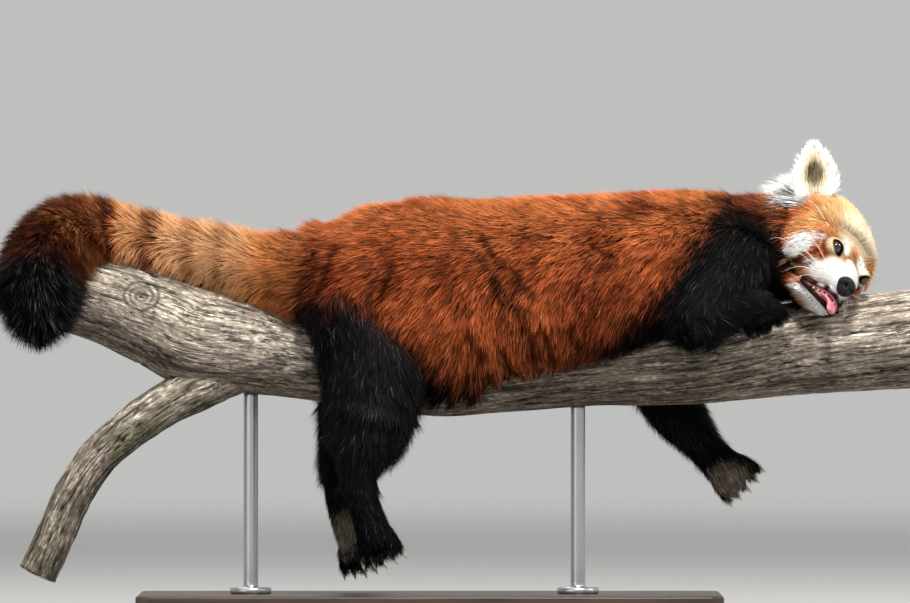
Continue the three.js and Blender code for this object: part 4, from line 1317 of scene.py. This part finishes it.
def makeWhiskers():
    shells = []
    for side in (-1, 1):
        for root, tip in whiskers["lines"]:
            a, b = (np.array([p[0], side * p[1], p[2]], float) for p in (root, tip))
            b = b + draws.normal(size=3) * 2.5
            middle = (a + b) / 2 + np.array([3.0, side * 4.0, 1.0]) + draws.normal(size=3)
            q = toRoom(np.array([a - (middle - a) * 0.12, middle, b]))
            q[2, 2] -= whiskers["sag"]
            r = whiskers["radius"]
            stations = [(*p, w, w) for p, w in zip(q, (r, r * 0.8, r * 0.15))]
            shells.append(sweep({"stations": stations, "up": (0.3, 0.9, 0.1), "cap": 0.5}, 0, 14, 5, 2))
    thing = makeObject("whiskers", *joined(shells))
    paint(thing.data, "coat", tiled(whiskers["colour"], len(thing.data.vertices)))
    thing.data.materials.append(glossyMaterial("whisker", 0.4, 0.1))
    return dressed(thing, "fur_white")


makeWhiskers()
print("head details")

# The branch is weathered wood without bark, with long cracks, a knot and rings on its ends.

wood = {
    "light": (0.80, 0.68, 0.54), "grey": (0.46, 0.385, 0.30), "dark": (0.085, 0.06, 0.042),
    "crack": (0.010, 0.007, 0.005), "moss": (0.115, 0.12, 0.050),
}
wood = {name: np.array(value) for name, value in wood.items()}
knotPlace = {"x": -276, "z": 304, "reach": 15}
# noise in the wood: its length along the grain, its width round the log, and a seed
grains = {
    "swell": (70, 26, 1), "wave": (26, 12, 2), "ridge": (60, 3.2, 3), "fineRidge": (16, 1.5, 4),
    "crack": (95, 5.5, 5), "crackPatch": (48, 14, 6), "split": (40, 2.4, 7), "splitPatch": (30, 9, 8),
    "bark": (9, 6, 9), "light": (34, 7, 10), "fineLight": (12, 2.4, 11), "streak": (70, 3, 12),
    "moss": (30, 14, 13), "barkDark": (6, 5, 14), "speck": (5, 1.2, 15),
}


def cutEnd(form, centre, ahead, side, above, halfSide, halfAbove, seed):
    # the sawn face of a log: growth rings and a few splits that run out from the middle
    rows, sides = 54, 120
    share = np.repeat(np.linspace(1, 0.01, rows), sides)
    turn = np.tile(np.arange(sides) / sides * 2 * math.pi, rows)
    a, b = share * (halfSide - 0.8) * np.cos(turn), share * (halfAbove - 0.8) * np.sin(turn)
    rough = cloud(np.stack([a / 9, b / 9, a * 0], 1), seed) - 0.5
    split = np.zeros(len(share))
    for k in range(5):
        wander = cloud(np.stack([share * 6, share * 0 + k, share * 0], 1), seed) - 0.5
        line = 1.3 * k + 0.5 * seed + 0.18 * wander
        gap = np.abs((turn - line + math.pi) % (2 * math.pi) - math.pi) * share * halfSide
        split = np.maximum(split, step(1.3, 0.3, gap) * step(0.08 + 0.1 * (k % 3), 0.35, share))
    cap = form["cap"] * min(halfSide, halfAbove)
    rise = cap * np.sqrt(np.clip(1 - share**2, 0, 1)) + 0.3 - 1.2 * split - 0.5 * step(0.93, 1, share)
    verts = centre + a[:, None] * side + b[:, None] * above + rise[:, None] * ahead
    ring = 0.5 + 0.5 * np.cos((share * halfAbove + 2.5 * rough) * 2 * math.pi / 2.9)
    colour = mix(tiled(wood["light"] * 0.85, len(share)), wood["grey"] * 0.55, 0.75 * ring)
    dark = 0.9 * split + 0.35 * step(0.1, 0.5, rough) + 0.6 * step(0.10, 0.04, share)
    colour = mix(colour, wood["dark"], np.clip(dark, 0, 1))
    quads = tube(rows, sides).tolist()
    quads.append(list(range((rows - 1) * sides, rows * sides)))
    if np.dot(np.cross(side, above), ahead) < 0:
        quads = [q[::-1] for q in quads]
    return (verts, quads), colour, np.stack([a * 0 + seed, a, b], 1) / 1000


def makeWood(name, form, rings, sides, seed, bark, slotName, node):
    verts, faces = sweep(form, 0.4, rings, sides, 3)
    rows = rings + 4
    shares = np.concatenate([np.zeros(2), np.linspace(0, 1, rings), np.ones(2)])
    centre, along, side, above, halfSide, halfAbove = frameAt(form, shares)
    length = np.concatenate([[0], np.cumsum(np.linalg.norm(np.diff(centre, axis=0), axis=1))])
    turn = np.tile(np.arange(sides) / sides * 2 * math.pi, rows)
    run = np.repeat(length, sides)
    mean = np.repeat((halfSide + halfAbove) / 2, sides)
    outer = verts[:-2]
    axis = np.repeat(centre, sides, axis=0)
    out = unit(outer - axis)
    twisted = turn + 0.0016 * run
    around = np.stack([run, np.cos(twisted) * mean, np.sin(twisted) * mean], 1)

    def grain(key):
        length, width, k = grains[key]
        return cloud(around / (length, width, width), seed + k)

    swell = (grain("swell") - 0.5) * 3.2 + (grain("wave") - 0.5) * 1.4
    ridge = (grain("ridge") - 0.5) * 0.9 + (grain("fineRidge") - 0.5) * 0.5
    crack = step(0.035, 0.0, np.abs(grain("crack") - 0.5)) * step(0.42, 0.62, grain("crackPatch"))
    fine = step(0.05, 0.0, np.abs(grain("split") - 0.5)) * step(0.45, 0.6, grain("splitPatch"))
    if bark:
        swell += (grain("bark") - 0.5) * 2.2
    rise = np.minimum(swell * 0.5 + ridge, 0.9) - 1.0 - 3.0 * crack - 0.8 * fine
    light = step(0.3, 0.75, 0.55 * grain("light") + 0.45 * grain("fineLight"))
    colour = mix(tiled(wood["grey"], len(outer)), wood["light"], light)
    colour = mix(colour, wood["dark"], step(0.5, 0.8, grain("streak")) * 0.7)
    # painted shade: the underside of the log is darker
    colour = mix(colour, wood["dark"], 0.55 * step(0.35, -0.6, np.sin(turn)))
    # painted shadow: the wood under the belly is darker, where the body shades it
    colour = mix(colour, wood["dark"], 0.4 * step(60, 130, outer[:, 0]) * step(300, 250, outer[:, 0]))
    if bark:
        colour = mix(colour, wood["moss"], 0.55 * step(0.35, 0.7, grain("moss")))
        colour = mix(colour, wood["dark"], 0.5 * step(0.45, 0.75, grain("barkDark")))
    else:
        knot = np.hypot(outer[:, 0] - knotPlace["x"], (outer[:, 2] - knotPlace["z"]) * 1.25)
        knot = knot / knotPlace["reach"]
        knot = np.where(outer[:, 1] < centre[:, 1].mean() - 15, knot, 9)
        rise += 1.3 * np.exp(-(((knot - 0.95) / 0.16) ** 2)) - 1.6 * np.exp(-((knot / 0.35) ** 2))
        rounds = 0.9 * (0.5 + 0.5 * np.cos(knot * 17)) * step(1.0, 0.9, knot)
        hem = 0.9 * np.exp(-(((knot - 1.12) / 0.10) ** 2))
        colour = mix(colour, wood["dark"], np.clip(rounds + 0.8 * step(0.3, 0.1, knot) + hem, 0, 1))
    colour = mix(colour, wood["crack"], np.clip(crack * 0.95 + fine * 0.55, 0, 1))
    colour *= (0.8 + 0.4 * grain("speck"))[:, None]
    verts[:-2] = outer + out * rise[:, None]
    # the two poles of the shell lie behind the cut ends
    shells, paints = [(verts, faces)], [np.vstack([colour, tiled(wood["light"] * 0.8, 2)])]
    places = [np.vstack([around / 1000, np.zeros((2, 3))])]
    for end, way in ((0, -1), (-1, 1)):
        sizes = halfSide[end], halfAbove[end]
        made = cutEnd(form, centre[end], along[end] * way, side[end], above[end], *sizes, seed + way)
        for group, result in zip((shells, paints, places), made):
            group.append(result)
    thing = makeObject(name, *joined(shells))
    paint(thing.data, "coat", np.vstack(paints))
    paint(thing.data, "grainPlace", np.vstack(places))
    thing.data.materials.append(woodMaterial)
    return dressed(thing, slotName, node)


# each noise of the wood: its stretch, its detail, and the range it is taken from and to
woodNoise = {
    "fibre": ((60, 620, 620), {"Scale": 1.0, "Detail": 8, "Roughness": 0.68}, (0.3, 0.7, 0.3, 1.5)),
    "split": ((9, 150, 150), {"Scale": 1.0, "Detail": 5, "Roughness": 0.55}, (0.004, 0.028, 0.12, 1.0)),
    "fleck": ((170, 430, 430), {"Scale": 1.0, "Detail": 2}, (0.50, 0.66, 0.86, 1.75)),
}


def makeWoodMaterial():
    material, nodes, links, shader = newMaterial("weathered wood")
    place = addNode(nodes, "Attribute", attribute_name="grainPlace").outputs["Vector"]

    def worked(operation, first, second=None):
        node = addNode(nodes, "Math", operation=operation)
        links.new(first, node.inputs[0])
        if second is not None:
            links.new(second, node.inputs[1])
        return node

    noise = {key: stretched(nodes, links, place, *look[:2]) for key, look in woodNoise.items()}
    # thin dark splits lie where a stretched noise passes its middle
    away = worked("SUBTRACT", noise["split"])
    away.inputs[1].default_value = 0.5
    noise["split"] = worked("ABSOLUTE", away.outputs["Value"]).outputs["Value"]
    shade = {key: ranged(nodes, links, noise[key], look[2]) for key, look in woodNoise.items()}
    both = worked("MULTIPLY", shade["fibre"], shade["split"]).outputs["Value"]
    shadePaint(nodes, links, shader, worked("MULTIPLY", both, shade["fleck"]).outputs["Value"])
    addBump(nodes, links, shader, both, 0.9, 0.0016)
    shader.inputs["Roughness"].default_value = 0.82
    shader.inputs["Specular IOR Level"].default_value = 0.3
    return material


woodMaterial = makeWoodMaterial()
makeWood("branch", branchForm, 460, 170, 40, False, "weathered_wood", "perch_branch")
makeWood("side_branch", forkForm, 200, 96, 60, True, "weathered_wood", "perch_fork")
print("wood")

# The stand: a board and two rods that are just long enough for the hanging feet.

stand = {
    "rodPlaces": (-172, 142), "rodRadius": 7, "footRadius": 20, "footHeight": 6, "low": 18.3, "sides": 64,
    "boardLength": 560, "boardWidth": 250, "boardThickness": 18, "boardCorner": 14, "bevel": 2.2,
    "steel": (0.52, 0.52, 0.53, 1), "oakDark": (0.018, 0.010, 0.006, 1), "oakLight": (0.075, 0.042, 0.024, 1),
}


def steel(name):
    material, nodes, links, shader = newMaterial(name)
    where = addNode(nodes, "TexCoord").outputs["Object"]
    brush = stretched(nodes, links, where, (300, 300, 2200), {"Detail": 3})
    links.new(ranged(nodes, links, brush, (0, 1, 0.26, 0.42)), shader.inputs["Roughness"])
    shader.inputs["Base Color"].default_value = stand["steel"]
    shader.inputs["Metallic"].default_value = 1
    return material


def darkOak():
    material, nodes, links, shader = newMaterial("dark oak")
    where = addNode(nodes, "TexCoord").outputs["Object"]
    grain = stretched(nodes, links, where, (5, 90, 90), {"Scale": 1.6, "Detail": 7, "Distortion": 0.5})
    ramp = addNode(nodes, "ValToRGB")
    stops = ((0.35, stand["oakDark"]), (0.68, stand["oakLight"]))
    for stop, (place, colour) in zip(ramp.color_ramp.elements, stops):
        stop.position = place
        stop.color = colour
    links.new(grain, ramp.inputs["Fac"])
    links.new(ramp.outputs["Color"], shader.inputs["Base Color"])
    addBump(nodes, links, shader, grain, 0.25, 0.0006)
    shader.inputs["Roughness"].default_value = 0.42
    return material


def makeRod(index, x):
    s = stand
    low, foot, r, wide = s["low"], s["low"] + s["footHeight"], s["rodRadius"], s["footRadius"]
    # radius and height from the middle of the foot, over its rounded rim and fillet, up into the branch
    profile = [
        (0, low), (wide - 0.8, low), (wide, low + 0.8), (wide, foot - 1.4), (wide - 1.4, foot),
        (r + 2.2, foot + 0.2), (r + 0.5, foot + 0.8), (r, foot + 2.2),
    ]
    centre, _, _, _, _, halfAbove = frameAt(branchForm, np.linspace(0, 1, 400))
    near = np.argmin(np.abs(centre[:, 0] - x))
    top = centre[near, 2] - halfAbove[near] + 4
    profile += [(r, z) for z in np.linspace(foot + 6, top, 40)]
    sides = s["sides"]
    turns = [2 * math.pi * k / sides for k in range(sides)]
    verts = [(x + r * math.cos(a), r * math.sin(a), z) for r, z in profile for a in turns]
    faces = tube(len(profile), sides).tolist()
    faces.append([(len(profile) - 1) * sides + k for k in range(sides)])
    thing = makeObject(f"rod_{index}", verts, faces)
    thing.data.materials.append(steel(f"brushed steel {index}"))
    return dressed(thing, "rod_steel", f"stand_rod_{index}")


def makeBoard():
    s = stand
    bevel, thick, corner = s["bevel"], s["boardThickness"], s["boardCorner"]
    outline = []
    for cx, cy, turn in ((1, 1, 0), (-1, 1, 1), (-1, -1, 2), (1, -1, 3)):
        for k in range(13):
            a = (turn + k / 12) * math.pi / 2
            middle = (cx * (s["boardLength"] / 2 - corner), cy * (s["boardWidth"] / 2 - corner))
            outline.append((*middle, math.cos(a), math.sin(a)))
    # height and how far the outline is drawn in there
    levels = [(0, bevel * 0.3), (bevel * 0.3, 0), (thick * 0.5, 0)]
    for a in np.linspace(0, math.pi / 2, 6):
        levels.append((thick - bevel * (1 - math.sin(a)), bevel * (1 - math.cos(a))))
    levels += [(thick, bevel + 1.5), (thick, 12.5)]
    verts, n = [], len(outline)
    for z, inward in levels:
        verts += [(x + c * (corner - inward), y + d * (corner - inward), z) for x, y, c, d in outline]
    faces = tube(len(levels), n).tolist()
    faces.append([(len(levels) - 1) * n + k for k in range(n)])
    faces.append([n - 1 - k for k in range(n)])
    thing = makeObject("board", verts, faces)
    thing.data.materials.append(darkOak())
    return dressed(thing, "board_wood", "stand_board")


makeBoard()
for i, x in enumerate(stand["rodPlaces"]):
    makeRod(i + 1, x)
print("stand")

# the camera stands 12 m away, where a pixel of the photo is pixelSize mm at the animal's middle plane
view = {"distance": 12000, "pixelSize": 0.96, "middle": (24, 298.6), "frameWidth": 910, "sensor": 36}
studio = {
    "floor": (0.33, 0.328, 0.32), "floorRadius": 14000, "floorSides": 96,
    "sky": (0.90, 0.90, 0.89), "skyPower": 0.58, "fade": (0.8, 7.5),
    "lights": {  # place and aim in metres, size in metres, power in watts
        "key": ((0.45, -1.9, 2.9), (0.1, 0, 0.3), 0.45, 150),
        "fill": ((-2.4, -2.6, 1.0), (0, 0, 0.3), 2.2, 16),
        "top": ((-0.5, 1.3, 2.7), (0, 0, 0.3), 1.2, 30),
        "rim": ((2.3, -0.2, 1.5), (0.35, 0, 0.3), 0.7, 26),
    },
}


def makeStudio():
    camera = bpy.data.cameras.new("camera")
    camera.sensor_width = view["sensor"]
    camera.lens = view["sensor"] * view["distance"] / (view["frameWidth"] * view["pixelSize"])
    camera.clip_end = 100
    thing = bpy.data.objects.new("camera", camera)
    bpy.context.collection.objects.link(thing)
    thing.location = (view["middle"][0] * mm, -view["distance"] * mm, view["middle"][1] * mm)
    thing.rotation_euler = (math.pi / 2, 0, 0)
    bpy.context.scene.camera = thing
    world = bpy.data.worlds.new("studio")
    world.use_nodes = True
    sky = world.node_tree.nodes["Background"]
    sky.inputs["Color"].default_value = (*studio["sky"], 1)
    sky.inputs["Strength"].default_value = studio["skyPower"]
    bpy.context.scene.world = world
    bpy.context.scene.view_settings.view_transform = "Standard"
    turns = np.linspace(0, 2 * math.pi, studio["floorSides"], endpoint=False)
    rim = [(studio["floorRadius"] * math.cos(a), studio["floorRadius"] * math.sin(a), 0) for a in turns]
    floor = makeObject("floor", rim, [list(range(len(rim)))], False)
    material, nodes, links, shader = newMaterial("floor")
    shader.inputs["Base Color"].default_value = (*studio["floor"], 1)
    shader.inputs["Roughness"].default_value = 0.9
    # the floor turns into the colour of the sky further out, so no line shows behind the model
    near, away = studio["fade"]
    where = addNode(nodes, "TexCoord")
    far = addNode(nodes, "VectorMath", operation="LENGTH")
    fade = addNode(nodes, "MapRange", {"From Min": near, "From Max": away}, interpolation_type="SMOOTHSTEP")
    glow = addNode(nodes, "Emission", {"Color": (*studio["sky"], 1), "Strength": studio["skyPower"]})
    both = addNode(nodes, "MixShader")
    links.new(where.outputs["Object"], far.inputs[0])
    links.new(far.outputs["Value"], fade.inputs["Value"])
    links.new(fade.outputs["Result"], both.inputs["Fac"])
    links.new(shader.outputs["BSDF"], both.inputs[1])
    links.new(glow.outputs["Emission"], both.inputs[2])
    links.new(both.outputs["Shader"], nodes["Material Output"].inputs["Surface"])
    floor.data.materials.append(material)
    for name, (place, aim, size, power) in studio["lights"].items():
        light = bpy.data.lights.new(name, "AREA")
        light.energy = power
        light.size = size
        lamp = bpy.data.objects.new(name, light)
        bpy.context.collection.objects.link(lamp)
        lamp.location = place
        lamp.rotation_euler = (Vector(aim) - Vector(place)).to_track_quat("-Z", "Y").to_euler()


makeStudio()
